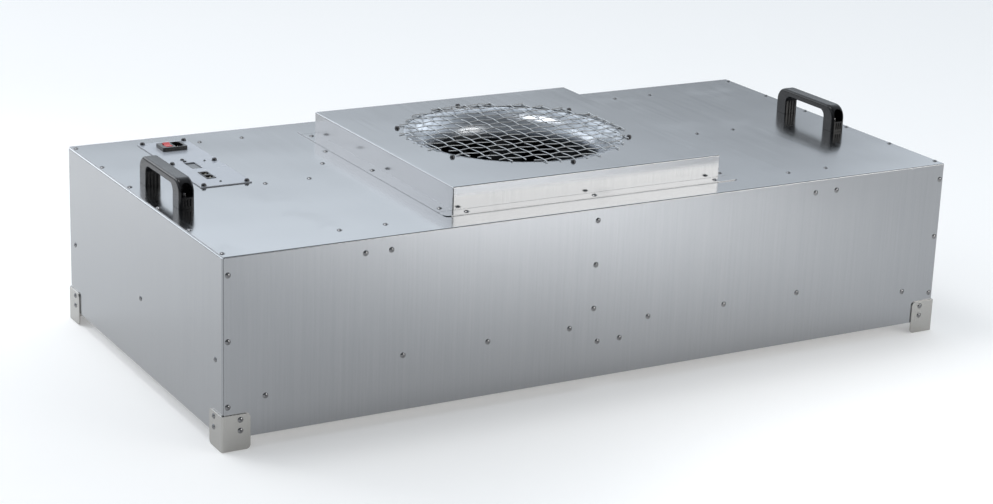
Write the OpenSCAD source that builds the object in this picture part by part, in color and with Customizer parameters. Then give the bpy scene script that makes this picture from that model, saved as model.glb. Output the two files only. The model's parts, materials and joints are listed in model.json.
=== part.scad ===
// Fan filter unit: a ceiling-grid air cleaner with a top inlet, a backward-curved
// fan on a deck inside a folded stainless casing, and a pleated filter below it.
// Origin: middle of the footprint, on the plane that the corner feet stand on.
// X runs along the casing, Y from the front wall to the rear wall, Z up.

/* [Casing] */
// Length of the casing, face to face of the two end pans
case_l = 1175; // [1120:1:1240]
// Depth of the casing, outside of the front wall to outside of the rear wall
case_w = 575; // [556:1:620]
// Height of the casing's sheet walls
case_h = 249; // [240:1:280]
// Thickness of the casing sheet
sheet_t = 1.2; // [1:0.1:1.5]
// Outside radius of the bends in the sheet
bend_r = 2; // [1.8:0.1:3]
// Width of the end pans' riveted flanges
pan_flange = 15; // [12:1:16]

/* [Feet] */
// Height of a corner foot
foot_h = 50; // [44:1:56]
// How far the feet reach below the casing
foot_drop = 17; // [12:1:19]
// Length of a foot's legs, measured outside
foot_leg = 41; // [38:1:50]
// Thickness of the foot plate
foot_t = 2; // [1.5:0.1:3]
// Radius of a foot's free corners
foot_corner_r = 6; // [2:1:8]

/* [Inlet box] */
// Side of the square inlet box
box_side = 440; // [420:1:450]
// Height of the inlet box above the casing
box_h = 34; // [30:1:40]
// Width of the box's riveted base flange
box_flange = 22; // [18:1:24]
// Radius of the base flange's corners
box_corner_r = 9; // [4:1:12]
// Radius of the round air inlet
inlet_r = 162.5; // [156:0.5:164]

/* [Wire guard] */
// Diameter of the guard's wires
wire_d = 2; // [1.4:0.1:2.6]
// Distance between neighbouring wires
wire_pitch = 22.35; // [21.5:0.05:22.8]
// Length of the wires' free ends past the last crossing
wire_tail = 14; // [6:1:18]
// Radius of the circle of guard screws
guard_screw_ring_r = 172; // [170:0.5:176]

/* [Bell mouth] */
// Radius of the curve that draws the air in
bell_curve_r = 36; // [32:1:38]
// Length of the straight throat below the curve
bell_throat_h = 5; // [4:0.5:6]
// Thickness of the spun sheet
bell_t = 1.5; // [1:0.1:2]

/* [Fan] */
// Outside radius of the impeller
impeller_r = 155; // [150:1:158]
// Number of backward-curved blades
blade_count = 7; // [5:1:9]
// Thickness of a blade
blade_t = 2.5; // [1.5:0.1:4]
// Height of the impeller's back disc above the fan deck
disc_lift = 41; // [38:1:43]
// Outside radius of the motor's turning shell
rotor_r = 51; // [49:1:55]
// Radius of the motor shaft
shaft_r = 6; // [5:0.5:7]

/* [Filter] */
// Distance from the casing's ends in to the filter frame
filter_end_in = 17.5; // [16:0.5:24]
// Distance from the long walls' outsides in to the filter frame
filter_side_in = 15.5; // [13:0.5:20]
// Height of the filter frame
filter_h = 63; // [56:1:63]
// Width of the frame's lips and of the gasket
frame_lip = 15; // [12:1:18]
// Distance between neighbouring pleats
pleat_pitch = 6; // [5:0.5:9]
// Thickness of the gasket on top of the frame
gasket_t = 4; // [3:0.5:6]

/* [Handles] */
// Length of a bridge handle
handle_l = 150; // [140:1:160]
// Width of a bridge handle
handle_w = 22.5; // [20:0.5:26]
// Height of a bridge handle
handle_h = 41; // [38:1:48]
// Thickness of a handle's legs
handle_leg = 26; // [22:1:30]
// Distance of the handles' middle from the casing's ends
handle_inset = 39.5; // [34:0.5:60]

/* [Control plate] */
// Width of the control plate
plate_w = 77; // [74:1:84]
// Length of the control plate
plate_l = 244; // [238:1:252]
// Thickness of the control plate
plate_t = 1.5; // [1:0.1:2]
// Place of the plate's middle, as a share of the way from the middle to the left end
plate_share = 0.772; // [0.766:0.001:0.778]
// Height of the power module's frame above the plate
module_rise = 6; // [5:0.5:8]
// Angle between the rocker's two positions
rocker_swing = 16; // [10:1:16]
// Travel of the push-buttons
button_travel = 0.6; // [0.3:0.1:0.8]

/* [Fasteners] */
// Radius of a blind rivet's body
rivet_r = 2; // [1.6:0.1:2.4]
// Radius of a blind rivet's domed head
rivet_head_r = 4; // [3.6:0.1:4.4]
// Radius of the machine screws
screw_r = 2; // [1.5:0.1:2.1]

/* [Hidden] */
$fn = 64;

// Clearances
fit = 0.05;          // round a rivet or screw in its hole
seat = 0.1;          // between faces that nearly touch
run_gap = 0.05;      // shaft in its bearing
tiny = 0.01;         // lets a cut run past a face

// Heights
base_z = foot_drop;              // lower edge of the casing's walls
top_z = base_z + case_h;         // outside of the top
under_top_z = top_z - sheet_t;   // inside of the top
box_top_z = top_z + box_h;       // outside of the inlet box's top
under_box_z = box_top_z - sheet_t;

// Half sizes of the casing, outside and inside
half_l = case_l / 2;
half_w = case_w / 2;
inner_w = half_w - sheet_t;      // inside of the front and rear walls
inner_l = half_l - sheet_t;      // inside of the end pans' webs

// Rivet places, measured from the casing's edges or its middle
rivet_grip = 2 * sheet_t;        // two sheets
end_col_inset = 7.5;             // wall rivets in front of the end pans
end_col_top = 24.5;
end_col_pitch = 90;
top_row_inset = 6.5;             // top rivets above the end pans
top_row_count = 6;
top_row_pitch = (case_w - 32) / (top_row_count - 1);
hat_share = 0.623;               // stiffeners, between the middle and the ends
hat_x = hat_share * half_l;
hat_rivet_x = 34;
hat_rivet_in = 48.5;             // from the long walls
hat_rivet_y = half_w - hat_rivet_in;
hat_tab_rivet_x = 19;
hat_tab_drop = 19.5;
hat_tab_rivet_z = top_z - hat_tab_drop;
deck_lift = 78.5;                // of its rivets, above the casing's lower edge
deck_rivet_z = base_z + deck_lift;
deck_rivet_count = 6;
deck_rivet_pitch = case_l / 9;
vane_x = -27;                    // rivet column of the front vane
vane_lift = 103;
vane_rivet_low = base_z + vane_lift;
vane_rivet_pitch = 64.4;
clip_lift = 53;
clip_rivet_z = base_z + clip_lift;
clip_in = 60.5;                  // from the casing's ends
clip_x = half_l - clip_in;
clip_pair_x = 18.5;
end_rivet_in = 23.5;             // from the long walls
end_rivet_y = half_w - end_rivet_in;
end_lift = 104;
end_rivet_z = base_z + end_lift;
foot_rivet_in = 24.5;            // from the casing's corner
foot_lift = 10.5;
foot_rivet_low = base_z + foot_lift;
foot_rivet_pitch = 15;
box_reach = box_side / 2 + box_flange;
box_rivet_in = 12.5;             // from the box's wall
box_rivet_pitch = 205;
strap_rivets = [[-box_reach - 39, 64], [-box_reach - 7, 122]];

// Places on the control plate, from its middle
plate_x = -plate_share * half_l;
plate_y = half_w - plate_l / 2 - 32;
plate_screw_x = plate_w / 2 - 6;
plate_screw_y = plate_l / 2 - 5;
module_w = 38;
module_l = 30;
module_y = 82.5;
display_at = [-6, -14.5];
display_w = 16;
display_l = 33;
button_x = -10;
button_up_y = 18.5;
button_down_y = 8.5;
button_r = 2.6;
jack_at = [-7.5, -68.5];
jack_w = 14;
jack_l = 35;
light_r = 1.7;
light_points = [[18.5, 3], [-2, -104.5]];

handle_screw_y = handle_l / 2 - handle_leg / 2;
handle_points = [[-half_l + handle_inset, handle_screw_y], [-half_l + handle_inset, -handle_screw_y],
    [half_l - handle_inset, handle_screw_y], [half_l - handle_inset, -handle_screw_y]];
handle_screw_r = 2.5;

function row(count, pitch) = [for (i = [0:count - 1]) (i - (count - 1) / 2) * pitch];

function end_column_points() =
    [for (x = [-half_l + end_col_inset, half_l - end_col_inset], i = [0:2])
        [x, top_z - end_col_top - i * end_col_pitch]];
function hat_tab_points() =
    [for (x = [-hat_x, hat_x], d = [-hat_tab_rivet_x, hat_tab_rivet_x]) [x + d, hat_tab_rivet_z]];
function deck_points() = [for (x = row(deck_rivet_count, deck_rivet_pitch)) [x, deck_rivet_z]];
function vane_points() = [for (i = [0:2]) [vane_x, vane_rivet_low + i * vane_rivet_pitch]];
function clip_points() =
    [for (x = [-clip_x, -clip_pair_x, clip_pair_x, clip_x]) [x, clip_rivet_z]];
function foot_wall_points(reach) =
    [for (s = [-1, 1], i = [0:1])
        [s * (reach - foot_rivet_in), foot_rivet_low + i * foot_rivet_pitch]];
function end_points() = [for (y = [-end_rivet_y, 0, end_rivet_y]) [y, end_rivet_z]];
function top_end_points() =
    [for (x = [-half_l + top_row_inset, half_l - top_row_inset], y = row(top_row_count, top_row_pitch))
        [x, y]];
function hat_points() =
    [for (x = [-hat_x, hat_x], d = [-hat_rivet_x, hat_rivet_x], y = [-hat_rivet_y, 0, hat_rivet_y])
        [x + d, y]];
function box_points() =
    let (reach = box_side / 2 + box_rivet_in, steps = [-box_rivet_pitch, 0, box_rivet_pitch])
    concat([for (s = [-1, 1], t = steps) [s * reach, t]], [for (s = [-1, 1], t = steps) [t, s * reach]]);
function plate_points() =
    [for (x = [-plate_screw_x, plate_screw_x], y = [-plate_screw_y, 0, plate_screw_y])
        [plate_x + x, plate_y + y]];
function guard_points() =
    [for (a = [30:60:330]) guard_screw_ring_r * [cos(a), sin(a)]];

// Frames for what sits on a wall, an end or the top: the child's +Z points outwards
module on_front(points, out = 0) {
    for (p = points) translate([p[0], -half_w - out, p[1]]) rotate([90, 0, 0]) children();
}
module on_rear(points, out = 0) {
    rotate([0, 0, 180]) on_front(points, out) children();
}
module on_left(points, out = 0) {
    for (p = points) translate([-half_l - out, p[0], p[1]]) rotate([0, -90, 0]) children();
}
module on_right(points, out = 0) {
    rotate([0, 0, 180]) on_left(points, out) children();
}
module on_top(points, out = 0) {
    for (p = points) translate([p[0], p[1], top_z + out]) children();
}
module on_plate() {
    translate([plate_x, plate_y, top_z + plate_t]) children();
}

// Fasteners
rivet_head_h = 2;
rivet_dimple_r = 1.1;
rivet_dimple_h = 0.7;
rivet_tail_r = 2.9;
rivet_tail_h = 3.5;
rivet_dome_r = (rivet_head_r * rivet_head_r + rivet_head_h * rivet_head_h) / (2 * rivet_head_h);

module rivet(grip) {
    difference() {
        union() {
            intersection() {
                translate([0, 0, rivet_head_h - rivet_dome_r]) sphere(r = rivet_dome_r);
                cylinder(r = rivet_head_r, h = rivet_head_h);
            }
            translate([0, 0, -grip - tiny]) cylinder(r = rivet_r, h = grip + 2 * tiny);
            translate([0, 0, -grip - rivet_tail_h]) cylinder(r = rivet_tail_r, h = rivet_tail_h);
        }
        translate([0, 0, rivet_head_h - rivet_dimple_h]) cylinder(r = rivet_dimple_r, h = rivet_head_h);
    }
}
module rivet_hole() {
    cylinder(r = rivet_r + fit, h = 4 * rivet_grip, center = true);
}
module screw_hole(r = screw_r) {
    cylinder(r = r + fit, h = 4 * rivet_grip, center = true);
}

// Pan-head screw with a spring washer under its head and a nut below the grip
module pan_screw(grip, r = screw_r, nut = true) {
    head_r = 2 * r;
    head_h = 1.5 * r;
    washer_h = 0.5 * r;
    nut_h = 1.6 * r;
    difference() {
        union() {
            cylinder(r = 1.8 * r, h = washer_h);
            translate([0, 0, washer_h - tiny]) intersection() {
                cylinder(r = head_r, h = head_h);
                translate([0, 0, head_h - 2.2 * head_r]) sphere(r = 2.2 * head_r);
            }
            translate([0, 0, -grip - nut_h - r]) cylinder(r = r, h = grip + nut_h + r + tiny);
            if (nut) translate([0, 0, -grip - nut_h]) cylinder(r = 2 * r, h = nut_h, $fn = 6);
        }
        // crossed recess
        for (a = [0, 90]) rotate([0, 0, a])
            translate([0, 0, washer_h + head_h]) cube([1.2 * head_r, 0.25 * head_r, head_h], center = true);
    }
}

// Sheet helpers
module soft_square(w, l, r) {
    // rectangle with rounded corners, centred
    union() {
        square([w - 2 * r, l], center = true);
        square([w, l - 2 * r], center = true);
        for (x = [-1, 1], y = [-1, 1]) translate([x * (w / 2 - r), y * (l / 2 - r)]) circle(r = r);
    }
}
module arch(w, h, r) {
    // rectangle standing on the X axis with its two upper corners rounded
    union() {
        translate([-w / 2, 0]) square([w, h - r]);
        translate([-w / 2 + r, 0]) square([w - 2 * r, h]);
        for (x = [-1, 1]) translate([x * (w / 2 - r), h - r]) circle(r = r);
    }
}
module along_x(length) {
    // extrudes a Y-Z outline along X, centred
    rotate([90, 0, 90]) translate([0, 0, -length / 2]) linear_extrude(height = length) children();
}
module along_y(length) {
    // extrudes an X-Z outline along Y, centred
    rotate([90, 0, 0]) translate([0, 0, -length / 2]) linear_extrude(height = length) children();
}
module air_ring(outer, inner, h) {
    // flat ring standing on z = 0
    difference() {
        cylinder(r = outer, h = h);
        translate([0, 0, -tiny]) cylinder(r = inner, h = h + 2 * tiny);
    }
}

// Casing sheets
top_opening = box_side - 40;
top_opening_r = 20;
window_w = 2 * plate_screw_x - 14;
window_l = 2 * plate_screw_y - 12;
pan_notch = 5;

module wrap_outline() {
    difference() {
        arch(case_w, case_h, bend_r);
        translate([0, -tiny]) arch(2 * inner_w, case_h - sheet_t + tiny, bend_r - sheet_t);
    }
}
module wall_rivet_holes() {
    on_front(concat(end_column_points(), hat_tab_points(), deck_points(), vane_points(),
        clip_points(), foot_wall_points(half_l))) rivet_hole();
}
module casing_wrap() {
    color("silver") difference() {
        translate([0, 0, base_z]) along_x(case_l - 2 * bend_r) wrap_outline();
        translate([0, 0, top_z - bend_r]) linear_extrude(height = 2 * bend_r)
            soft_square(top_opening, top_opening, top_opening_r);
        translate([plate_x, plate_y, top_z - bend_r]) linear_extrude(height = 2 * bend_r)
            square([window_w, window_l], center = true);
        wall_rivet_holes();
        rotate([0, 0, 180]) wall_rivet_holes();
        on_top(concat(top_end_points(), hat_points(), box_points(), strap_rivets)) rivet_hole();
        on_top(plate_points()) screw_hole();
        on_top(handle_points) screw_hole(handle_screw_r);
    }
}

module pan_block(depth, w, h, r) {
    // web's outside on x = 0, rounded on its four long edges, open towards +X
    intersection() {
        translate([depth, 0, 0]) linear_extrude(height = h) soft_square(2 * depth, w, r);
        translate([depth, 0, h / 2]) along_y(w) soft_square(2 * depth, h, r);
        translate([depth / 2, 0, h / 2]) cube([depth, w, h], center = true);
    }
}
module end_pan() {
    pan_w = 2 * inner_w;
    pan_h = case_h - sheet_t;
    difference() {
        translate([-half_l, 0, base_z]) difference() {
            pan_block(pan_flange, pan_w, pan_h, bend_r);
            translate([sheet_t, 0, sheet_t])
                pan_block(pan_flange, pan_w - 2 * sheet_t, pan_h - 2 * sheet_t, bend_r - sheet_t);
            // the flanges stop short of each other at the corners
            for (y = [-pan_w / 2, pan_w / 2], z = [0, pan_h])
                translate([bend_r + pan_flange / 2, y, z])
                    cube([pan_flange, 2 * pan_notch, 2 * pan_notch], center = true);
        }
        on_front(end_column_points()) rivet_hole();
        on_rear(end_column_points()) rivet_hole();
        on_top(top_end_points()) rivet_hole();
        on_left(concat(end_points(), foot_wall_points(half_w))) rivet_hole();
    }
}
module left_end_pan() {
    color("silver") end_pan();
}
module right_end_pan() {
    color("silver") rotate([0, 0, 180]) end_pan();
}

// Corner feet
foot_bend_r = foot_t + 0.4;

module bent_corner(side, r) {
    // square from the origin towards +X and +Y with its first corner rounded
    union() {
        translate([r, 0]) square([side - r, side]);
        translate([0, r]) square([side, side - r]);
        translate([r, r]) circle(r = r);
    }
}
module foot() {
    // front left corner
    difference() {
        translate([-half_l - foot_t, -half_w - foot_t, 0]) intersection() {
            linear_extrude(height = foot_h) difference() {
                bent_corner(foot_leg, foot_bend_r);
                translate([foot_t, foot_t]) bent_corner(foot_leg, foot_bend_r - foot_t);
            }
            translate([0, 0, foot_h / 2]) along_y(2 * foot_leg + 1)
                soft_square(2 * foot_leg, foot_h, foot_corner_r);
            translate([0, 0, foot_h / 2]) along_x(2 * foot_leg + 1)
                soft_square(2 * foot_leg, foot_h, foot_corner_r);
        }
        on_front(foot_wall_points(half_l)) rivet_hole();
        on_left(foot_wall_points(half_w)) rivet_hole();
    }
}
module foot_front_left() {
    color("gainsboro") foot();
}
module foot_front_right() {
    color("gainsboro") mirror([1, 0, 0]) foot();
}
module foot_rear_left() {
    color("gainsboro") mirror([0, 1, 0]) foot();
}
module foot_rear_right() {
    color("gainsboro") rotate([0, 0, 180]) foot();
}

// Inlet box
module box_block(side, h, r) {
    intersection() {
        along_x(side) arch(side, h, r);
        along_y(side) arch(side, h, r);
    }
}
module inlet_box() {
    color("whitesmoke") difference() {
        translate([0, 0, top_z]) difference() {
            union() {
                box_block(box_side, box_h, bend_r);
                linear_extrude(height = sheet_t) soft_square(2 * box_reach, 2 * box_reach, box_corner_r);
            }
            translate([0, 0, -tiny])
                box_block(box_side - 2 * sheet_t, box_h - sheet_t + tiny, bend_r - sheet_t);
            // open seams where the folded walls and flanges meet
            for (x = [-1, 1], y = [-1, 1]) translate([x * box_side / 2, y * box_side / 2, 0]) {
                translate([-x * sheet_t / 2, -y * sheet_t / 2, (box_h - bend_r) / 2])
                    cube([sheet_t + tiny, sheet_t + tiny, box_h - bend_r], center = true);
                translate([x * box_flange / 2, 0, 0])
                    cube([box_flange + 2, sheet_t / 2, 3 * sheet_t], center = true);
            }
        }
        translate([0, 0, box_top_z]) cylinder(r = inlet_r, h = 3 * bend_r, center = true, $fn = 128);
        on_top(guard_points(), box_h) screw_hole();
        on_top(box_points()) rivet_hole();
    }
}

// Woven wire guard: each wire is crimped over and under the wires it crosses
guard_reach = (inlet_r + 2) / wire_pitch;    // in pitches
guard_last = floor(guard_reach);
guard_shift = 8;                             // the free ends all point towards -X and -Y
wire_step = wire_d + seat;                   // between the middles of crossing wires
wave_x = 0.8 * wire_step;                    // crimp of the wires along X
wave_y = wire_step - wave_x;                 // the others stay nearly straight
wire_sides = 6;
guard_mid_z = box_top_z + wave_x + (wire_d + seat) / 2;

function wire_span(offset) = floor(sqrt(guard_reach * guard_reach - offset * offset));
function wire_level(k, phase, wave) = ((k + phase) % 2 == 0 ? 1 : -1) * wave;
function wire_route(offset, phase, wave) =
    // along +X through the crossings of one wire; phase lifts every second crossing
    let (n = wire_span(offset))
    concat(
        [[-n * wire_pitch - wire_tail, 0, -wave]],
        [for (k = [-n:n]) [k * wire_pitch, 0, wire_level(k, phase, wave)]],
        [[n * wire_pitch + wire_d, 0, wire_level(n, phase, wave)]]);

function unit(v) = v / norm(v);
function route_dir(route, k) =
    unit(route[min(k + 1, len(route) - 1)] - route[max(k - 1, 0)]);

// Round tube along a route; side_hint is a direction that the route never runs along
module tube(route, r, sides, side_hint) {
    last = len(route) - 1;
    points = [for (k = [0:last])
        let (dir = route_dir(route, k), u = unit(cross(side_hint, dir)), v = cross(dir, u))
        for (m = [0:sides - 1], a = [360 * m / sides]) route[k] + r * (cos(a) * u + sin(a) * v)];
    walls = [for (k = [0:last - 1], m = [0:sides - 1])
        let (a = k * sides + m, b = k * sides + (m + 1) % sides) [a, a + sides, b + sides, b]];
    ends = [[for (m = [0:sides - 1]) m], [for (m = [sides - 1:-1:0]) last * sides + m]];
    polyhedron(points = points, faces = concat(walls, ends), convexity = 4);
}
module inlet_guard() {
    color("silver") translate([guard_shift, guard_shift, guard_mid_z])
        for (i = [-guard_last:guard_last]) {
            translate([0, i * wire_pitch, 0])
                tube(wire_route(i, i, wave_x), wire_d / 2, wire_sides, [0, 1, 0]);
            translate([i * wire_pitch, 0, 0]) rotate([0, 0, 90])
                tube(wire_route(i, i + 1, wave_y), wire_d / 2, wire_sides, [0, 1, 0]);
        }
}
module guard_screws() {
    color("dimgray") on_top(guard_points(), box_h) pan_screw(sheet_t + bell_t);
}

// Bell mouth
bell_start_r = inlet_r - 2.5;
bell_rim = 24;
throat_r = bell_start_r - bell_curve_r;
throat_end_z = under_box_z - bell_curve_r - bell_throat_h;

module bell_mouth() {
    color("lightgray") difference() {
        translate([0, 0, under_box_z]) rotate_extrude($fn = 128) {
            translate([bell_start_r, -bell_t]) square([bell_rim, bell_t]);
            intersection() {
                translate([bell_start_r, -bell_curve_r]) difference() {
                    circle(r = bell_curve_r);
                    circle(r = bell_curve_r - bell_t);
                }
                translate([throat_r - 1, -bell_curve_r]) square([bell_curve_r + 1, bell_curve_r + 1]);
            }
            translate([throat_r, -bell_curve_r - bell_throat_h]) square([bell_t, bell_throat_h]);
        }
        on_top(guard_points(), box_h) screw_hole();
    }
}

// Channels that stiffen the top, riveted to it and to the long walls
hat_w = 48;
hat_flange = 20;
hat_h = 30;
hat_tab_w = 46;
hat_tab_h = 27;
corner_cut = bend_r;                         // what is cut off to clear a bend

module stiffener() {
    // left one
    difference() {
        translate([-hat_x, 0, under_top_z]) {
            along_y(2 * inner_w) {
                for (s = [-1, 1]) {
                    translate([s * (hat_w + hat_flange) / 2, -sheet_t / 2])
                        square([hat_flange, sheet_t], center = true);
                    translate([s * (hat_w - sheet_t) / 2, -hat_h / 2])
                        square([sheet_t, hat_h], center = true);
                }
                translate([0, -hat_h + sheet_t / 2]) square([hat_w, sheet_t], center = true);
            }
            for (s = [-1, 1]) translate([0, s * (inner_w - sheet_t / 2), -hat_h + hat_tab_h / 2])
                cube([hat_tab_w, sheet_t, hat_tab_h], center = true);
        }
        for (s = [-1, 1]) translate([-hat_x, s * inner_w, under_top_z])
            cube([hat_w + 2 * hat_flange + 2, 2 * corner_cut, 2 * corner_cut], center = true);
        on_top(hat_points()) rivet_hole();
        on_front(hat_tab_points()) rivet_hole();
        on_rear(hat_tab_points()) rivet_hole();
    }
}
module stiffener_left() {
    color("darkgray") stiffener();
}
module stiffener_right() {
    color("darkgray") rotate([0, 0, 180]) stiffener();
}

// Angles that the filter seals against
ledge_w = 30;
ledge_leg = 18;
end_ledge_leg = 42;
ledge_drop = 8.5;                            // from the deck's rivets to the sealing face
ledge_z = deck_rivet_z - ledge_drop;
ledge_l = case_l - 2 * pan_flange - 2;
deck_half_w = inner_w - sheet_t;

module ledge_front() {
    color("darkgray") difference() {
        along_x(ledge_l) {
            translate([-inner_w, ledge_z]) square([sheet_t, ledge_leg]);
            translate([-inner_w, ledge_z]) square([ledge_w, sheet_t]);
        }
        on_front(deck_points()) rivet_hole();
    }
}
module ledge_rear() {
    rotate([0, 0, 180]) ledge_front();
}
module ledge_left() {
    leg_l = 2 * (deck_half_w - corner_cut);
    shelf_l = 2 * (inner_w - ledge_w - seat);
    color("darkgray") difference() {
        union() {
            translate([-inner_l, -leg_l / 2, ledge_z]) cube([sheet_t, leg_l, end_ledge_leg]);
            translate([-inner_l, -shelf_l / 2, ledge_z]) cube([ledge_w, shelf_l, sheet_t]);
        }
        on_left(end_points()) rivet_hole();
    }
}
module ledge_right() {
    rotate([0, 0, 180]) ledge_left();
}

// Fan deck
deck_rise = 13.5;                            // from its rivets to its top
deck_top = deck_rivet_z + deck_rise;
deck_flange = 20;
deck_end = 25;                               // past its last rivet
deck_l = (deck_rivet_count - 1) * deck_rivet_pitch + 2 * deck_end;
isolator_place = 62;
isolator_r = 10;
isolator_h = 14;
isolator_waist = 3;
isolator_stud_r = 3;
isolator_stud_out = 8;

module isolator_holes(z) {
    for (x = [-1, 1], y = [-1, 1]) translate([x * isolator_place, y * isolator_place, z])
        screw_hole(isolator_stud_r);
}
module fan_deck() {
    color("darkgray") difference() {
        translate([0, 0, deck_top - deck_flange]) along_x(deck_l) difference() {
            arch(2 * deck_half_w, deck_flange, bend_r);
            translate([0, -tiny])
                arch(2 * (deck_half_w - sheet_t), deck_flange - sheet_t + tiny, bend_r - sheet_t);
        }
        on_front(deck_points()) rivet_hole();
        on_rear(deck_points()) rivet_hole();
        isolator_holes(deck_top);
    }
}

// Guide vanes between the fan and the long walls
vane_flange = 25;
vane_tip_gap = 23;                           // between a vane and the impeller
vane_reach = inner_w - impeller_r - vane_tip_gap;
vane_gap = corner_cut - sheet_t + seat;

module vane_front() {
    color("darkgray") difference() {
        translate([0, 0, deck_top + vane_gap])
            linear_extrude(height = under_top_z - deck_top - 2 * vane_gap) union() {
                translate([vane_x - vane_flange / 2, -inner_w]) square([vane_flange, sheet_t]);
                translate([vane_x + vane_flange / 2 - sheet_t, -inner_w]) square([sheet_t, vane_reach]);
                translate([vane_x + vane_flange / 2 - vane_flange / 3, -inner_w + vane_reach - sheet_t])
                    square([vane_flange / 3, sheet_t]);
            }
        on_front(vane_points()) rivet_hole();
    }
}
module vane_rear() {
    rotate([0, 0, 180]) vane_front();
}

// Motor
mplate_side = 160;
mplate_t = 2.5;
mplate_r = 12;
mplate_z = deck_top + isolator_h;
stator_z = mplate_z + mplate_t;
stator_r = 46;
stator_base_h = 8;
stator_stud_r = 3;
stator_stud_ring = 36;
neck_r = 30;
tube_r = 18;
winding_lift = 12;
winding_h = 28;
winding_gap = 3.5;                    // inside the turning shell
bearing_r = 14;
bearing_h = 9;
disc_z = deck_top + disc_lift;        // underside of the impeller's back disc
disc_t = 2.5;
ring_t = 3;                           // rotor's mounting ring
ring_r = rotor_r + 13;
cup_t = 4.5;
cup_z = disc_z - ring_t;
cup_h = 56;
stator_top = cup_z + cup_h - 8;
neck_top = cup_z - 2;
ring_screw_r = rotor_r + 6.5;
cord_r = 3.5;
gland_r = 4;
gland_l = 6;
gland_z = stator_z + gland_r + seat;

module isolators() {
    color("black") for (x = [-1, 1], y = [-1, 1])
        translate([x * isolator_place, y * isolator_place, deck_top]) {
            rotate_extrude() difference() {
                square([isolator_r, isolator_h]);
                translate([isolator_r + isolator_waist, isolator_h / 2]) circle(r = isolator_waist + 2);
            }
            translate([0, 0, -isolator_stud_out])
                cylinder(r = isolator_stud_r, h = isolator_h + 2 * isolator_stud_out);
        }
}
module motor_plate() {
    color("darkgray") difference() {
        translate([0, 0, mplate_z]) linear_extrude(height = mplate_t)
            soft_square(mplate_side, mplate_side, mplate_r);
        isolator_holes(mplate_z);
        for (a = [45:90:315]) rotate([0, 0, a]) translate([stator_stud_ring, 0, mplate_z])
            screw_hole(stator_stud_r);
    }
}
module motor_stator() {
    color("silver") difference() {
        union() {
            translate([0, 0, stator_z]) cylinder(r = stator_r, h = stator_base_h);
            translate([0, 0, stator_z]) cylinder(r = neck_r, h = neck_top - stator_z);
            translate([0, 0, stator_z]) cylinder(r = tube_r, h = stator_top - stator_z);
            for (a = [45:90:315]) rotate([0, 0, a])
                translate([stator_stud_ring, 0, stator_z - mplate_t - 5])
                    cylinder(r = stator_stud_r, h = mplate_t + 6);
            translate([-stator_r - gland_l, 0, gland_z]) rotate([0, 90, 0])
                cylinder(r = gland_r, h = gland_l + 5);
        }
        translate([0, 0, stator_z + 3]) cylinder(r = bearing_r + fit, h = stator_top);
    }
}
module motor_winding() {
    color("peru") translate([0, 0, neck_top + winding_lift])
        air_ring(rotor_r - cup_t - winding_gap, tube_r + seat, winding_h);
}
module bearing(z) {
    color("lightgray") translate([0, 0, z]) difference() {
        air_ring(bearing_r, shaft_r + run_gap, bearing_h);
        // groove between the races on both faces
        for (g = [0, bearing_h]) translate([0, 0, g - 0.6])
            air_ring(bearing_r - 3, shaft_r + 3, 1.2);
    }
}
module bearing_lower() {
    bearing(neck_top);
}
module bearing_upper() {
    bearing(stator_top - bearing_h - 3);
}
module rotor() {
    color("dimgray") difference() {
        union() {
            translate([0, 0, cup_z]) difference() {
                union() {
                    cylinder(r = rotor_r, h = cup_h);
                    cylinder(r = ring_r, h = ring_t);
                }
                translate([0, 0, -tiny]) cylinder(r = rotor_r - cup_t, h = cup_h - 4 + tiny);
            }
            translate([0, 0, neck_top - 6]) cylinder(r = shaft_r, h = cup_z + cup_h - neck_top + 5);
        }
        for (a = [0:60:300]) rotate([0, 0, a]) translate([ring_screw_r, 0, disc_z]) screw_hole();
    }
}

// Impeller
eye_gap = 3.5;
eye_r = throat_r + bell_t + eye_gap;
eye_top_z = throat_end_z + 6;
shroud_r = impeller_r - eye_r;               // radius of the shroud's curve
shroud_mid_z = eye_top_z + 6;
shroud_t = 1.5;
blade_in_r = 106;
blade_out_r = impeller_r - 2;
blade_in_angle = 28;
blade_out_angle = 40;
blade_top_z = throat_end_z - 5;
// circle arc that meets both radii at the blade angles
blade_arc_r = (pow(blade_out_r, 2) - pow(blade_in_r, 2))
    / (2 * (blade_out_r * cos(blade_out_angle) - blade_in_r * cos(blade_in_angle)));
blade_arc_in = sqrt(pow(blade_arc_r, 2) + pow(blade_in_r, 2)
    - 2 * blade_in_r * blade_arc_r * cos(blade_in_angle));

module blade_plan() {
    // one blade, long enough to pass both radii
    intersection() {
        translate([blade_arc_in, 0]) difference() {
            circle(r = blade_arc_r + blade_t / 2, $fn = 180);
            circle(r = blade_arc_r - blade_t / 2, $fn = 180);
        }
        translate([-2 * impeller_r, 0]) square([4 * impeller_r, 2 * impeller_r]);
        circle(r = impeller_r);
    }
}
module impeller_disc() {
    disc_top = disc_z + disc_t;
    color("#1c1d1f") difference() {
        union() {
            translate([0, 0, disc_z]) cylinder(r = impeller_r, h = disc_t, $fn = 128);
            intersection() {
                translate([0, 0, disc_top - tiny]) linear_extrude(height = case_h)
                    for (a = [0:blade_count - 1]) rotate([0, 0, a * 360 / blade_count]) blade_plan();
                rotate_extrude($fn = 128) difference() {
                    polygon([[blade_in_r, disc_top - tiny], [blade_out_r, disc_top - tiny],
                        [blade_out_r, blade_top_z], [blade_in_r + 10, blade_top_z]]);
                    translate([impeller_r, shroud_mid_z]) circle(r = shroud_r + seat);
                }
            }
        }
        translate([0, 0, disc_z - tiny]) cylinder(r = rotor_r + fit, h = disc_t + 2 * tiny);
        for (a = [0:60:300]) rotate([0, 0, a]) translate([ring_screw_r, 0, disc_z]) screw_hole();
    }
}
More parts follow.
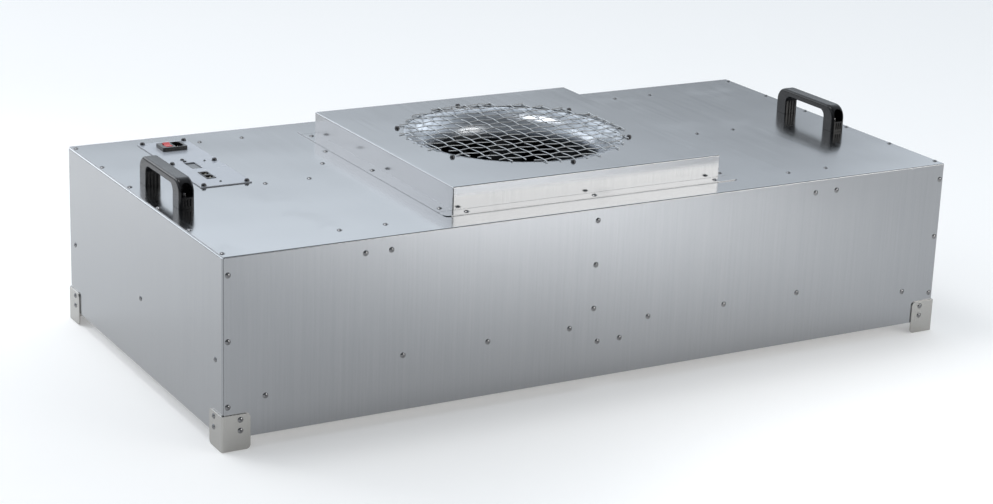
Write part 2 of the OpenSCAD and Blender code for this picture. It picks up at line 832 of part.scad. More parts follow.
module impeller_shroud() {
    color("#1c1d1f") rotate_extrude($fn = 128) intersection() {
        translate([impeller_r, shroud_mid_z]) difference() {
            circle(r = shroud_r);
            circle(r = shroud_r - shroud_t);
        }
        translate([eye_r - 1, shroud_mid_z - shroud_r - 1])
            square([shroud_r + 1, eye_top_z - shroud_mid_z + shroud_r + 1]);
    }
}
module impeller_screws() {
    color("silver") for (a = [0:60:300]) rotate([0, 0, a])
        translate([ring_screw_r, 0, disc_z + disc_t]) pan_screw(disc_t + ring_t);
}

// Filter
frame_t = 1.5;
filter_l = case_l - 2 * filter_end_in;
filter_w = case_w - 2 * filter_side_in;
filter_z = ledge_z - gasket_t - filter_h;
guard_t = 0.8;
pack_gap = 0.3;
pleat_t = 0.4;
pack_l = filter_l - 2 * frame_t - 2 * pack_gap;
pack_w = filter_w - 2 * frame_t - 2 * pack_gap;
pleat_count = floor(pack_l / pleat_pitch);
pleat_low = filter_z + frame_t + guard_t + pack_gap;
pleat_high = filter_z + filter_h - frame_t - pack_gap;
guard_cols = 10;
guard_rows = 11;
guard_bar = 5;

module filter_frame() {
    color("lightgray") translate([0, 0, filter_z]) difference() {
        translate([0, 0, filter_h / 2]) cube([filter_l, filter_w, filter_h], center = true);
        translate([0, 0, filter_h / 2])
            cube([filter_l - 2 * frame_lip, filter_w - 2 * frame_lip, filter_h + 2], center = true);
        translate([0, 0, filter_h / 2])
            cube([filter_l - 2 * frame_t, filter_w - 2 * frame_t, filter_h - 2 * frame_t], center = true);
    }
}
module filter_pleats() {
    rise = pleat_high - pleat_low;
    fold = 2 * pleat_t * rise / pleat_pitch;  // height of a sheet's cut at a fold
    folds = 2 * pleat_count;
    start = -pleat_count * pleat_pitch / 2;
    upper = [for (k = [0:folds])
        [start + k * pleat_pitch / 2, k % 2 == 0 ? pleat_low + fold : pleat_high]];
    lower = [for (k = [folds:-1:0])
        [start + k * pleat_pitch / 2, k % 2 == 0 ? pleat_low : pleat_high - fold]];
    color("white") along_y(pack_w) polygon(concat(upper, lower));
}
module filter_gasket() {
    color("#2a2a2a") translate([0, 0, filter_z + filter_h]) linear_extrude(height = gasket_t) difference() {
        square([filter_l - 2, filter_w - 2], center = true);
        square([filter_l - 2 * frame_lip, filter_w - 2 * frame_lip], center = true);
    }
}
module filter_face_guard() {
    // lattice of staggered diamonds
    cell_w = (pack_l - 2 * frame_lip) / guard_cols;
    cell_h = (pack_w - 2 * frame_lip) / ((guard_rows + 1) / 2);
    open_w = cell_w / 2 - guard_bar;
    open_h = cell_h / 2 - guard_bar * cell_h / cell_w;
    color("white") translate([0, 0, filter_z + frame_t]) linear_extrude(height = guard_t) difference() {
        square([pack_l, pack_w], center = true);
        for (j = [0:guard_rows - 1]) {
            odd = j % 2;
            for (i = [0:guard_cols - 1 - odd])
                translate([(i - (guard_cols - 1 - odd) / 2) * cell_w,
                    (j - (guard_rows - 1) / 2) * cell_h / 2])
                    polygon([[-open_w, 0], [0, -open_h], [open_w, 0], [0, open_h]]);
        }
    }
}
clip_t = 1.5;
clip_w = 20;
clip_pair_w = 60;
clip_grip = 14;

module clip(width) {
    along_x(width) {
        translate([-inner_w, filter_z - clip_t]) square([clip_t, clip_rivet_z + 9 - filter_z + clip_t]);
        translate([-inner_w, filter_z - clip_t]) square([inner_w - filter_w / 2 + clip_grip, clip_t]);
    }
}
module filter_clips() {
    color("silver") for (turn = [0, 180]) rotate([0, 0, turn]) difference() {
        union() {
            for (x = [-clip_x, clip_x]) translate([x, 0, 0]) clip(clip_w);
            clip(clip_pair_w);
        }
        on_front(clip_points()) rivet_hole();
    }
}

// Control box and what it holds
cbox_w = 2 * plate_screw_x - 11;
cbox_l = 2 * plate_screw_y - 8;
cbox_h = 50;
cbox_lip_l = plate_l - 8;
cbox_gland_l = 4;
cable_exit_y = plate_y - 60;
cable_exit_z = under_top_z - 38;
board_lift = 6;
board_t = 1.6;
board_w = cbox_w - 8;
board_l = cbox_l - 20;

module control_box() {
    color("darkgray") difference() {
        translate([plate_x, plate_y, under_top_z]) {
            translate([0, 0, -cbox_h / 2]) cube([cbox_w, cbox_l, cbox_h], center = true);
            translate([0, 0, -sheet_t / 2]) cube([plate_w, cbox_lip_l, sheet_t], center = true);
            translate([cbox_w / 2 - 1, cable_exit_y - plate_y, cable_exit_z - under_top_z]) rotate([0, 90, 0])
                cylinder(r = cord_r + 2, h = cbox_gland_l + 1);
        }
        translate([plate_x, plate_y, under_top_z - cbox_h / 2 + sheet_t])
            cube([cbox_w - 2 * sheet_t, cbox_l - 2 * sheet_t, cbox_h], center = true);
        on_top(plate_points()) screw_hole();
    }
}
module control_board() {
    floor_z = under_top_z - cbox_h + sheet_t;
    color("darkgreen") translate([plate_x, plate_y, floor_z]) {
        translate([0, 0, board_lift + board_t / 2]) cube([board_w, board_l, board_t], center = true);
        for (x = [-1, 1], y = [-1, 1])
            translate([x * (board_w / 2 - 5), y * (board_l / 2 - 5), 0])
                cylinder(r = 3, h = board_lift + tiny);
        // terminal block, relay and transformer
        translate([0, -board_l / 2 + 12, board_lift + board_t + 5]) cube([30, 10, 10.2], center = true);
        translate([-8, -10, board_lift + board_t + 6]) cube([15, 19, 12.2], center = true);
        translate([6, 30, board_lift + board_t + 6]) cube([24, 20, 12.2], center = true);
    }
}

// Run capacitor under the top, held by a riveted strap
cap_r = 20;
cap_l = 70;
cap_gap = sheet_t + 2 * seat;       // keeps it below the stiffener's flange
strap_w = 14;
strap_end = 7;                     // past its rivets
strap_reach = norm(strap_rivets[1] - strap_rivets[0]) / 2;
strap_turn = atan2(strap_rivets[1][1] - strap_rivets[0][1], strap_rivets[1][0] - strap_rivets[0][0]);
strap_mid = (strap_rivets[0] + strap_rivets[1]) / 2;

module capacitor() {
    color("silver") translate([strap_mid[0], strap_mid[1], under_top_z - cap_r - cap_gap])
        rotate([0, 0, strap_turn]) rotate([90, 0, 0]) translate([0, 0, -cap_l / 2]) {
            cylinder(r = cap_r, h = cap_l);
            // crimped rim and two terminals
            translate([0, 0, cap_l]) air_ring(cap_r, cap_r - 2, 2);
            for (x = [-6, 6]) translate([x, 0, cap_l + 4]) cube([1, 6, 9], center = true);
        }
}
module capacitor_strap() {
    color("darkgray") difference() {
        translate([strap_mid[0], strap_mid[1], under_top_z]) rotate([0, 0, strap_turn]) along_y(strap_w) {
            intersection() {
                translate([0, -cap_r - cap_gap]) difference() {
                    circle(r = cap_r + seat + sheet_t);
                    circle(r = cap_r + seat);
                }
                translate([-2 * cap_r, -3 * cap_r - cap_gap]) square([4 * cap_r, 2 * cap_r]);
            }
            for (s = [-1, 1]) {
                translate([s * (cap_r + seat + sheet_t / 2), -(cap_r + cap_gap) / 2])
                    square([sheet_t, cap_r + cap_gap], center = true);
                translate([s * (cap_r + seat + strap_reach + strap_end) / 2, -sheet_t / 2])
                    square([strap_reach + strap_end - cap_r - seat, sheet_t], center = true);
            }
        }
        on_top(strap_rivets) rivet_hole();
    }
}

// Motor cable, from the control box along the deck to the motor
clip_line_y = 40;
cable_low_z = deck_top + cord_r + seat;
cable_start = [plate_x + cbox_w / 2 + cbox_gland_l, cable_exit_y, cable_exit_z];
cable_drop = [clip_line_y - cable_start[1], cable_low_z - cable_start[2]];
// bends down to the deck: distance in X, shares of the way in Y and Z
cable_bends = [[24.5, 0.04, 0.04], [38.5, 0.13, 0.16], [48.5, 0.22, 0.34], [56.5, 0.34, 0.53],
    [66.5, 0.52, 0.72], [80.5, 0.73, 0.88], [98.5, 0.91, 0.97], [118.5, 1, 1]];
cable_route = concat([cable_start, cable_start + [10, 0, 0]],
    [for (b = cable_bends) cable_start + [b[0], b[1] * cable_drop[0], b[2] * cable_drop[1]]],
    [[-160, clip_line_y, cable_low_z], [-140, 36, cable_low_z + 1], [-124, 27, cable_low_z + 3],
        [-110, 17, cable_low_z + 8], [-98, 8, cable_low_z + 13], [-86, 2, gland_z],
        [-74, 0, gland_z], [-stator_r - gland_l, 0, gland_z]]);
cable_clip_x = [cable_start[0] + 157.5, -175];

module motor_cable() {
    color("#202020") tube(cable_route, cord_r, 8, [0, 1, 0]);
}
module cable_clips() {
    color("silver") for (x = cable_clip_x) translate([x, clip_line_y, deck_top]) along_x(10) {
        difference() {
            translate([0, cord_r + seat]) circle(r = cord_r + 2 * seat + 1.2);
            translate([0, cord_r + seat]) circle(r = cord_r + 2 * seat);
            translate([-10, -10]) square([20, 10]);
        }
        for (s = [-1, 1]) translate([s * (cord_r + 5.4), 0.6]) square([10.2, 1.2], center = true);
    }
}

// Bridge handles, moulded, each held by two screws from the recesses in its ends
grip_t = 11;
handle_bend_r = 20;
handle_open_r = 10;
handle_edge_r = 5;
recess_w = 16.5;
recess_floor = 16.5;
recess_h = 19;
recess_depth = handle_leg / 2 + 2 * handle_screw_r + 0.6;
flute_r = 1.2;
flute_pitch = 5;
flute_h = 21;
slot_w = 2;
slot_depth = 1.5;
slot_low = 4;
slot_h = 10;

module handle() {
    translate([0, 0, top_z]) difference() {
        intersection() {
            along_x(handle_w) arch(handle_l, handle_h, handle_bend_r);
            along_y(handle_l) arch(handle_w, handle_h, handle_edge_r);
        }
        along_x(handle_w + 2) translate([0, -tiny])
            arch(handle_l - 2 * handle_leg, handle_h - grip_t, handle_open_r);
        for (s = [-1, 1]) {
            translate([0, s * (handle_l - recess_depth + 1) / 2, recess_floor])
                along_y(recess_depth + 1) arch(recess_w, recess_h, recess_w / 2 - tiny);
            translate([0, s * handle_screw_y, -tiny])
                cylinder(r = handle_screw_r + fit, h = recess_floor + 2 * tiny);
            for (k = [-1:1]) {
                translate([k * flute_pitch, s * (handle_l / 2 - handle_leg), -tiny])
                    cylinder(r = flute_r, h = flute_h, $fn = 24);
                translate([k * 2 * slot_w, s * (handle_l / 2 - slot_depth / 2 + tiny), slot_low])
                    translate([0, 0, slot_h / 2])
                        cube([slot_w, slot_depth + 2 * tiny, slot_h], center = true);
            }
        }
    }
}
module left_handle() {
    color("#232426") translate([-half_l + handle_inset, 0, 0]) handle();
}
module right_handle() {
    color("#232426") translate([half_l - handle_inset, 0, 0]) handle();
}
module handle_screws() {
    color("dimgray") on_top(handle_points, recess_floor)
        pan_screw(recess_floor + sheet_t, handle_screw_r);
}

// Control plate and the pieces set in it
well_gap = 0.5;                    // round a piece in its opening
module_skirt = 2;                  // frame's overlap on the plate
module_body_w = module_w - 2 * module_skirt;
module_body_l = module_l - 2 * module_skirt;
move_gap = 0.3;                    // round a piece that moves
button_hole_r = button_r + move_gap;

module control_plate() {
    color("gainsboro") difference() {
        translate([plate_x, plate_y, top_z]) linear_extrude(height = plate_t) difference() {
            soft_square(plate_w, plate_l, 1);
            translate([0, module_y])
                square([module_body_w + well_gap, module_body_l + well_gap], center = true);
            translate(display_at) square([display_w, display_l], center = true);
            translate(jack_at) square([jack_w + seat, jack_l + seat], center = true);
            for (y = [button_up_y, button_down_y]) translate([button_x, y]) circle(r = button_hole_r);
            for (p = light_points) translate(p) circle(r = light_r + fit);
        }
        on_top(plate_points()) screw_hole();
    }
}
module plate_screws() {
    color("silver") on_top(plate_points(), plate_t) pan_screw(plate_t + rivet_grip);
}

// Power module: mains socket beside a rocker switch
body_drop = 28;
socket_x = 8.6;
socket_w = 13.6;
socket_l = 24.5;
socket_depth = 16;
pin_pitch = 7;
pin_t = 2;
pin_w = 4;
pin_h = 14;
well_x = -6.8;
well_w = 11;
well_l = 19.6;
well_depth = 10;
rocker_w = 10;
rocker_l = 18;
rocker_axis_drop = 3.5;
trunnion_r = 1.5;
trunnion_l = 1.4;

module power_module() {
    color("#18191b") on_plate() translate([0, module_y, 0]) difference() {
        union() {
            intersection() {
                linear_extrude(height = module_rise) soft_square(module_w, module_l, 2);
                along_x(module_w) arch(module_l, module_rise, 1.2);
            }
            translate([0, 0, -body_drop / 2 + tiny])
                cube([module_body_w, module_body_l, body_drop], center = true);
            // tails of the contacts
            for (k = [-1:1]) translate([socket_x, k * pin_pitch, -body_drop - 3])
                cube([0.8, 6, 8], center = true);
        }
        // socket, with two corners cut off on its outer side
        translate([socket_x, 0, module_rise - socket_depth]) linear_extrude(height = socket_depth + 1)
            polygon([[-socket_w / 2, -socket_l / 2], [socket_w / 2 - 4, -socket_l / 2],
                [socket_w / 2, -socket_l / 2 + 4], [socket_w / 2, socket_l / 2 - 4],
                [socket_w / 2 - 4, socket_l / 2], [-socket_w / 2, socket_l / 2]]);
        translate([well_x, 0, module_rise - well_depth / 2 + 0.5])
            cube([well_w, well_l, well_depth + 1], center = true);
        translate([well_x, 0, module_rise - rocker_axis_drop]) rotate([0, 90, 0])
            cylinder(r = trunnion_r + run_gap, h = well_w + 2 * trunnion_l, center = true);
        for (k = [-1:1])
            translate([socket_x + (k == 0 ? 2 : -2), k * pin_pitch, module_rise - socket_depth])
                cube([pin_t + seat, pin_w + seat, 4], center = true);
    }
}
module inlet_pins() {
    color("goldenrod") on_plate() translate([socket_x, module_y, module_rise - socket_depth - 2 + seat])
        for (k = [-1:1]) translate([k == 0 ? 2 : -2, k * pin_pitch, pin_h / 2])
            cube([pin_t, pin_w, pin_h], center = true);
}
module rocker_outline() {
    // Y-Z, pivot at the origin: a shallow V on top, round underneath
    intersection() {
        circle(r = rocker_l / 2);
        polygon([[-rocker_l / 2, 5.2], [-rocker_l / 2, 0], [-5, -4], [5, -4], [rocker_l / 2, 0],
            [rocker_l / 2, 5.2], [0, 3.4]]);
    }
}
module rocker() {
    color("crimson") on_plate() translate([well_x, module_y, module_rise - rocker_axis_drop])
        rotate([rocker_swing / 2, 0, 0]) {
            along_x(rocker_w) rocker_outline();
            rotate([0, 90, 0]) cylinder(r = trunnion_r, h = well_w + 2 * trunnion_l - 0.6, center = true);
        }
}

// Display with the board that carries the two button switches
display_t = 5;
carrier_w = 24;
carrier_l = 62;
carrier_y = -4;
switch_side = 6;
button_rise = 1.6;
button_flange_r = button_r + 1;
button_flange_t = 1;
switch_drop = move_gap + button_flange_t + button_travel + 0.4;

module display() {
    color("#3a3d40") on_plate() translate([0, 0, -plate_t]) {
        translate([display_at[0], display_at[1], -display_t]) linear_extrude(height = display_t)
            soft_square(display_w + 4, display_l + 4, 1.5);
        translate([display_at[0], carrier_y, -display_t - board_t / 2 + tiny])
            cube([carrier_w, carrier_l, board_t], center = true);
        for (y = [button_up_y, button_down_y])
            translate([button_x, y, -switch_drop - (display_t - switch_drop + tiny) / 2])
                cube([switch_side, switch_side, display_t - switch_drop + tiny], center = true);
    }
}
module button(y) {
    color("#4a4d50") on_plate() translate([button_x, y, 0]) {
        translate([0, 0, -plate_t - move_gap - tiny])
            cylinder(r = button_r, h = plate_t + move_gap + tiny + button_rise - 0.5);
        translate([0, 0, button_rise - 0.5]) cylinder(r1 = button_r, r2 = button_r - 0.5, h = 0.5);
        translate([0, 0, -plate_t - move_gap - button_flange_t])
            cylinder(r = button_flange_r, h = button_flange_t);
    }
}
module button_up() {
    button(button_up_y);
}
module button_down() {
    button(button_down_y);
}

// Two jacks side by side in one block
jack_rise = 0.8;
jack_body = 14;
jack_flange_t = 1.2;
jack_pitch = 16.5;
port_w = 9;
port_l = 12;
port_depth = 11;
port_notch_w = 2;
port_notch_l = 6;

module jack_block() {
    color("#202225") on_plate() translate([jack_at[0], jack_at[1], 0]) difference() {
        union() {
            translate([0, 0, jack_rise - jack_body / 2]) cube([jack_w, jack_l, jack_body], center = true);
            translate([0, 0, -plate_t - jack_flange_t / 2])
                cube([jack_w + 4, jack_l + 4, jack_flange_t], center = true);
        }
        for (s = [-1, 1]) translate([0, s * jack_pitch / 2, jack_rise]) {
            translate([-1, 0, -port_depth / 2 + 0.5]) cube([port_w, port_l, port_depth + 1], center = true);
            translate([-1 + port_w / 2 + port_notch_w / 2 - tiny, 0, -port_depth / 2 + 0.5])
                cube([port_notch_w, port_notch_l, port_depth + 1], center = true);
        }
    }
}
module status_lights() {
    color("honeydew") on_plate() for (p = light_points) translate([p[0], p[1], 0]) {
        intersection() {
            sphere(r = light_r, $fn = 32);
            cylinder(r = light_r, h = light_r);
        }
        translate([0, 0, -plate_t - 5]) cylinder(r = light_r, h = plate_t + 5 + tiny);
        translate([0, 0, -plate_t - 1]) cylinder(r = light_r + 0.8, h = 1);
    }
}

// Blind rivets
module long_wall_rivets() {
    on_front(concat(end_column_points(), hat_tab_points(), vane_points())) rivet(rivet_grip);
    on_front(deck_points()) rivet(rivet_grip + sheet_t);
    on_front(clip_points()) rivet(sheet_t + clip_t);
}
module rivets_front() {
    color("silver") long_wall_rivets();
}
module rivets_rear() {
    color("silver") rotate([0, 0, 180]) long_wall_rivets();
}
module rivets_ends() {
    color("silver") {
        on_left(end_points()) rivet(rivet_grip);
        on_right(end_points()) rivet(rivet_grip);
    }
}
module rivets_top() {
    color("silver") on_top(concat(top_end_points(), hat_points(), strap_rivets)) rivet(rivet_grip);
}
module rivets_box() {
    color("silver") on_top(box_points(), sheet_t) rivet(rivet_grip);
}
module rivets_feet() {
    color("silver") {
        on_front(foot_wall_points(half_l), foot_t) rivet(foot_t + sheet_t);
        on_rear(foot_wall_points(half_l), foot_t) rivet(foot_t + sheet_t);
        on_left(foot_wall_points(half_w), foot_t) rivet(foot_t + sheet_t);
        on_right(foot_wall_points(half_w), foot_t) rivet(foot_t + sheet_t);
    }
}

casing_wrap();
left_end_pan();
right_end_pan();
foot_front_left();
foot_front_right();
foot_rear_left();
foot_rear_right();
inlet_box();
inlet_guard();
guard_screws();
bell_mouth();
stiffener_left();
stiffener_right();
fan_deck();
vane_front();
vane_rear();
ledge_front();
ledge_rear();
ledge_left();
ledge_right();
isolators();
motor_plate();
motor_stator();
motor_winding();
bearing_lower();
bearing_upper();
rotor();
impeller_disc();
impeller_shroud();
impeller_screws();
filter_frame();
filter_pleats();
filter_gasket();
filter_face_guard();
filter_clips();
control_box();
control_board();
capacitor();
capacitor_strap();
motor_cable();
cable_clips();
left_handle();
right_handle();
handle_screws();
control_plate();
plate_screws();
power_module();
inlet_pins();
rocker();
display();
button_up();
button_down();
jack_block();
status_lights();
rivets_front();
rivets_rear();
rivets_ends();
rivets_top();
rivets_box();
rivets_feet();
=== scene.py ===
"""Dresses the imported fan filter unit: finishes for its solids, eased edges, woven wires,
rivets, screws, moulded handles and a pale studio round it. Lengths are in metres."""

import json
import math

import bmesh
import bpy
from bpy.props import (
    FloatProperty,
    FloatVectorProperty,
    IntProperty,
    PointerProperty,
)
from mathutils import Matrix, Vector


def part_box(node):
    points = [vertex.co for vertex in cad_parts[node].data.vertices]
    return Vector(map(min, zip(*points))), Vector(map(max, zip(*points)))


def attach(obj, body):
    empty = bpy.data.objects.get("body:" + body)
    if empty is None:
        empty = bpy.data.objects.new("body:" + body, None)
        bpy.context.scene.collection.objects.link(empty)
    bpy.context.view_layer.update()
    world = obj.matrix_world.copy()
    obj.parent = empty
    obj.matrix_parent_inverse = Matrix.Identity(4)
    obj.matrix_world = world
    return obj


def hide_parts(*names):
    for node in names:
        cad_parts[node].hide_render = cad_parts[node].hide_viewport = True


bl_info = {
    "name": "Fan filter unit dressing",
    "version": (1, 0, 0),
    "blender": (4, 5, 0),
    "location": "View3D > Sidebar > Fan filter unit",
    "description": "Finishes, fasteners, wire guard and studio for a packed fan filter unit",
    "category": "Object",
}

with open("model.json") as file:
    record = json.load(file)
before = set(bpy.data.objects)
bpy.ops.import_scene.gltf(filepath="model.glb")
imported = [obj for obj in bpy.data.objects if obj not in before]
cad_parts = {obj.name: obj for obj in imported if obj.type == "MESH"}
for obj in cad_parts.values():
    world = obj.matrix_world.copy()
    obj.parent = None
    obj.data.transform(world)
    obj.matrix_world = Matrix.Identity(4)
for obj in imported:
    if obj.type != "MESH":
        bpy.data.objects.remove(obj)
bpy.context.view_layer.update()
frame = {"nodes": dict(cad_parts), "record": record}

MM = 0.001
WELD = 0.002 * MM  # points nearer than this are one
FLAT = 0.3  # degrees: faces that meet at less are merged into one
SHARP_EDGE = 32.0  # degrees: edges that are sharper get eased
TAB = "Fan filter unit"

CASE_LOW = Vector((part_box("left_end_pan")[0].x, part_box("casing_wrap")[0].y, 0.0))
CASE_HIGH = Vector((-CASE_LOW.x, -CASE_LOW.y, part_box("casing_wrap")[1].z))
BOX_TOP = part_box("inlet_box")[1].z


# ---------------------------------------------------------------- node trees


class Tree:
    """Builds a node tree with few words: add() makes a node and sets or links its inputs."""

    def __init__(self, tree):
        self.tree = tree

    def add(self, kind, inputs=None, **settings):
        node = self.tree.nodes.new(kind)
        for key, value in settings.items():
            setattr(node, key, value)
        for key, value in (inputs or {}).items():
            self.feed(node.inputs[key], value)
        return node

    def feed(self, socket, value):
        if isinstance(value, bpy.types.NodeSocket):
            self.tree.links.new(value, socket)
        else:
            socket.default_value = value

    def math(self, operation, *values):
        node = self.tree.nodes.new("ShaderNodeMath")
        node.operation = operation
        for socket, value in zip(node.inputs, values):
            self.feed(socket, value)
        return node.outputs[0]

    def spread(self, value, low, high, to_low, to_high):
        """value from low..high mapped to to_low..to_high, clamped"""
        node = self.add(
            "ShaderNodeMapRange",
            {"Value": value, "From Min": low, "From Max": high, "To Min": to_low, "To Max": to_high},
        )
        return node.outputs["Result"]


def new_material(name):
    """An empty node material with its shader; returns the material, its tree and the shader."""
    material = bpy.data.materials.new(name)
    material.use_nodes = True
    material.node_tree.nodes.clear()
    tree = Tree(material.node_tree)
    shader = tree.add("ShaderNodeBsdfPrincipled")
    output = tree.add("ShaderNodeOutputMaterial")
    tree.feed(output.inputs["Surface"], shader.outputs[0])
    return material, tree, shader


def object_place(tree):
    """Object coordinates"""
    return tree.add("ShaderNodeTexCoord").outputs["Object"]


def noise(tree, vector, scale, detail=2.0, roughness=0.5):
    node = tree.add(
        "ShaderNodeTexNoise",
        {"Vector": vector, "Scale": scale, "Detail": detail, "Roughness": roughness},
    )
    return node.outputs[0]


def tint(tree, shader, colour, amount, value):
    """Base colour that varies by plus or minus amount with value (0 to 1)"""
    factor = tree.spread(value, 0.0, 1.0, 1.0 - amount, 1.0 + amount)
    scaled = tree.add(
        "ShaderNodeVectorMath", {0: (*colour,), 3: factor}, operation="SCALE"
    )
    tree.feed(shader.inputs["Base Color"], scaled.outputs[0])


def relief(tree, shader, *layers):
    """Bumps laid one on the other: each layer is a height and its depth in metres"""
    normal = None
    for height, depth in layers:
        inputs = {"Strength": 1.0, "Distance": depth, "Height": height}
        if normal is not None:
            inputs["Normal"] = normal
        normal = tree.add("ShaderNodeBump", inputs).outputs[0]
    tree.feed(shader.inputs["Normal"], normal)


def new_geometry_tree(name, sockets):
    """A geometry tree with named inputs (label, kind, default); returns tree, builder, inputs"""
    tree = bpy.data.node_groups.new(name, "GeometryNodeTree")
    tree.interface.new_socket("Geometry", in_out="INPUT", socket_type="NodeSocketGeometry")
    for label, kind, default in sockets:
        socket = tree.interface.new_socket(label, in_out="INPUT", socket_type=kind)
        if default is not None:
            socket.default_value = default
    tree.interface.new_socket("Geometry", in_out="OUTPUT", socket_type="NodeSocketGeometry")
    builder = Tree(tree)
    return tree, builder, builder.add("NodeGroupInput").outputs


def close_geometry_tree(builder, geometry, material):
    """Ends a geometry tree with real meshes in one finish"""
    real = builder.add("GeometryNodeRealizeInstances", {"Geometry": geometry})
    painted = builder.add(
        "GeometryNodeSetMaterial", {"Geometry": real.outputs[0], "Material": material}
    )
    builder.add("NodeGroupOutput", {"Geometry": painted.outputs[0]})


def set_inputs(modifier, values):
    """Sets a geometry modifier's inputs by label"""
    for item in modifier.node_group.interface.items_tree:
        if item.item_type == "SOCKET" and item.in_out == "INPUT" and item.name in values:
            modifier[item.identifier] = values[item.name]


def attribute(builder, name, data_type="FLOAT"):
    node = builder.add("GeometryNodeInputNamedAttribute", data_type=data_type)
    node.inputs["Name"].default_value = name
    return node.outputs["Attribute"]


def wire_tree():
    """Sweeps a wire along each edge; it swings to and fro along Way once in two pitches"""
    tree, builder, given = new_geometry_tree("Crimped wire", [
        ("Radius", "NodeSocketFloat", 1.0 * MM),
        ("Sides", "NodeSocketInt", 12),
        ("Pitch", "NodeSocketFloat", 22.0 * MM),
        ("Step", "NodeSocketFloat", 2.5 * MM),
        ("Way", "NodeSocketVector", (0.0, 0.0, 1.0)),
        ("Finish", "NodeSocketMaterial", None),
    ])
    line = builder.add("GeometryNodeMeshToCurve", {"Mesh": given["Geometry"]})
    fine = builder.add(
        "GeometryNodeResampleCurve", {"Curve": line.outputs[0], "Length": given["Step"]}, mode="LENGTH"
    )
    turn = builder.math("DIVIDE", attribute(builder, "along"), given["Pitch"])
    wave = builder.math("COSINE", builder.math("MULTIPLY", turn, math.pi))
    lift = builder.math("MULTIPLY", wave, attribute(builder, "swing"))
    offset = builder.add("ShaderNodeVectorMath", {0: given["Way"], "Scale": lift}, operation="SCALE")
    crimped = builder.add(
        "GeometryNodeSetPosition", {"Geometry": fine.outputs[0], "Offset": offset.outputs[0]}
    )
    ring = builder.add(
        "GeometryNodeCurvePrimitiveCircle", {"Resolution": given["Sides"], "Radius": given["Radius"]}
    )
    swept = builder.add("GeometryNodeCurveToMesh", {
        "Curve": crimped.outputs[0], "Profile Curve": ring.outputs[0], "Fill Caps": True})
    close_geometry_tree(builder, swept.outputs[0], given["Finish"])
    return tree


def fastener_tree():
    """Sets a fastener on every point, its axis along the point's outward direction and
    turned about it by chance"""
    tree, builder, given = new_geometry_tree("Set fasteners", [
        ("Fastener", "NodeSocketObject", None),
        ("Seed", "NodeSocketInt", 0),
        ("Finish", "NodeSocketMaterial", None),
    ])
    piece = builder.add("GeometryNodeObjectInfo", {"Object": given["Fastener"]})
    upright = builder.add(
        "FunctionNodeAlignRotationToVector",
        {"Vector": attribute(builder, "outward", "FLOAT_VECTOR")}, axis="Z",
    )
    chance = builder.add("FunctionNodeRandomValue", {"Seed": given["Seed"]}, data_type="FLOAT")
    chance.inputs[3].default_value = 2.0 * math.pi
    euler = builder.add("ShaderNodeCombineXYZ", {"Z": chance.outputs[1]})
    spin = builder.add("FunctionNodeEulerToRotation", {0: euler.outputs[0]})
    turned = builder.add(
        "FunctionNodeRotateRotation", {0: upright.outputs[0], 1: spin.outputs[0]},
        rotation_space="LOCAL",
    )
    placed = builder.add("GeometryNodeInstanceOnPoints", {
        "Points": given["Geometry"], "Instance": piece.outputs["Geometry"], "Rotation": turned.outputs[0]})
    close_geometry_tree(builder, placed.outputs[0], given["Finish"])
    return tree


# ---------------------------------------------------------------- finishes


def brushed_steel(name, colour, roughness, grain_depth, ripple):
    """Sheet steel with a fine straight grain that runs up the walls and across the top,
    faint clouds and smears, and long shallow ripples that bend what it mirrors."""
    material, tree, shader = new_material(name)
    coordinate = tree.add("ShaderNodeTexCoord")
    place = tree.add("ShaderNodeSeparateXYZ", {0: coordinate.outputs["Object"]})
    facing = tree.add("ShaderNodeSeparateXYZ", {0: coordinate.outputs["Normal"]})
    on_end = tree.math("GREATER_THAN", tree.math("ABSOLUTE", facing.outputs["X"]), 0.7)
    across = tree.add(
        "ShaderNodeMix", {0: on_end, 2: place.outputs["X"], 3: place.outputs["Y"]}, data_type="FLOAT"
    ).outputs[0]
    sideways = tree.add(
        "ShaderNodeMix", {0: on_end, 2: place.outputs["Y"], 3: 0.0}, data_type="FLOAT"
    ).outputs[0]
    along = tree.math("MULTIPLY", tree.math("ADD", place.outputs["Z"], sideways), 0.012)
    stroke = tree.add("ShaderNodeCombineXYZ", {"X": across, "Y": along}).outputs[0]
    fine = noise(tree, stroke, 1100.0, 3.0, 0.65)
    coarse = noise(tree, stroke, 280.0, 3.0, 0.6)
    clouds = noise(tree, coordinate.outputs["Object"], 3.0, 2.0)
    smears = noise(tree, coordinate.outputs["Object"], 11.0, 4.0, 0.6)
    grain = tree.math("ADD", tree.math("MULTIPLY", fine, 0.45), tree.math("MULTIPLY", coarse, 0.55))
    tint(tree, shader, colour, 0.17, tree.math(
        "ADD", tree.math("MULTIPLY", grain, 0.75), tree.math("MULTIPLY", clouds, 0.25)))
    brushed = tree.spread(grain, 0.25, 0.75, roughness - 0.04, roughness + 0.05)
    handled = tree.spread(smears, 0.55, 0.75, 0.0, 0.06)
    tree.feed(shader.inputs["Roughness"], tree.math("ADD", brushed, handled))
    shader.inputs["Metallic"].default_value = 1.0
    shader.inputs["Anisotropic"].default_value = 0.5
    tangent = tree.add("ShaderNodeCombineXYZ", {"X": tree.math("SUBTRACT", 1.0, on_end), "Y": on_end})
    tree.feed(shader.inputs["Tangent"], tangent.outputs[0])
    waves = noise(tree, coordinate.outputs["Object"], 5.5, 1.0)
    relief(tree, shader, (waves, ripple), (grain, grain_depth))
    return material


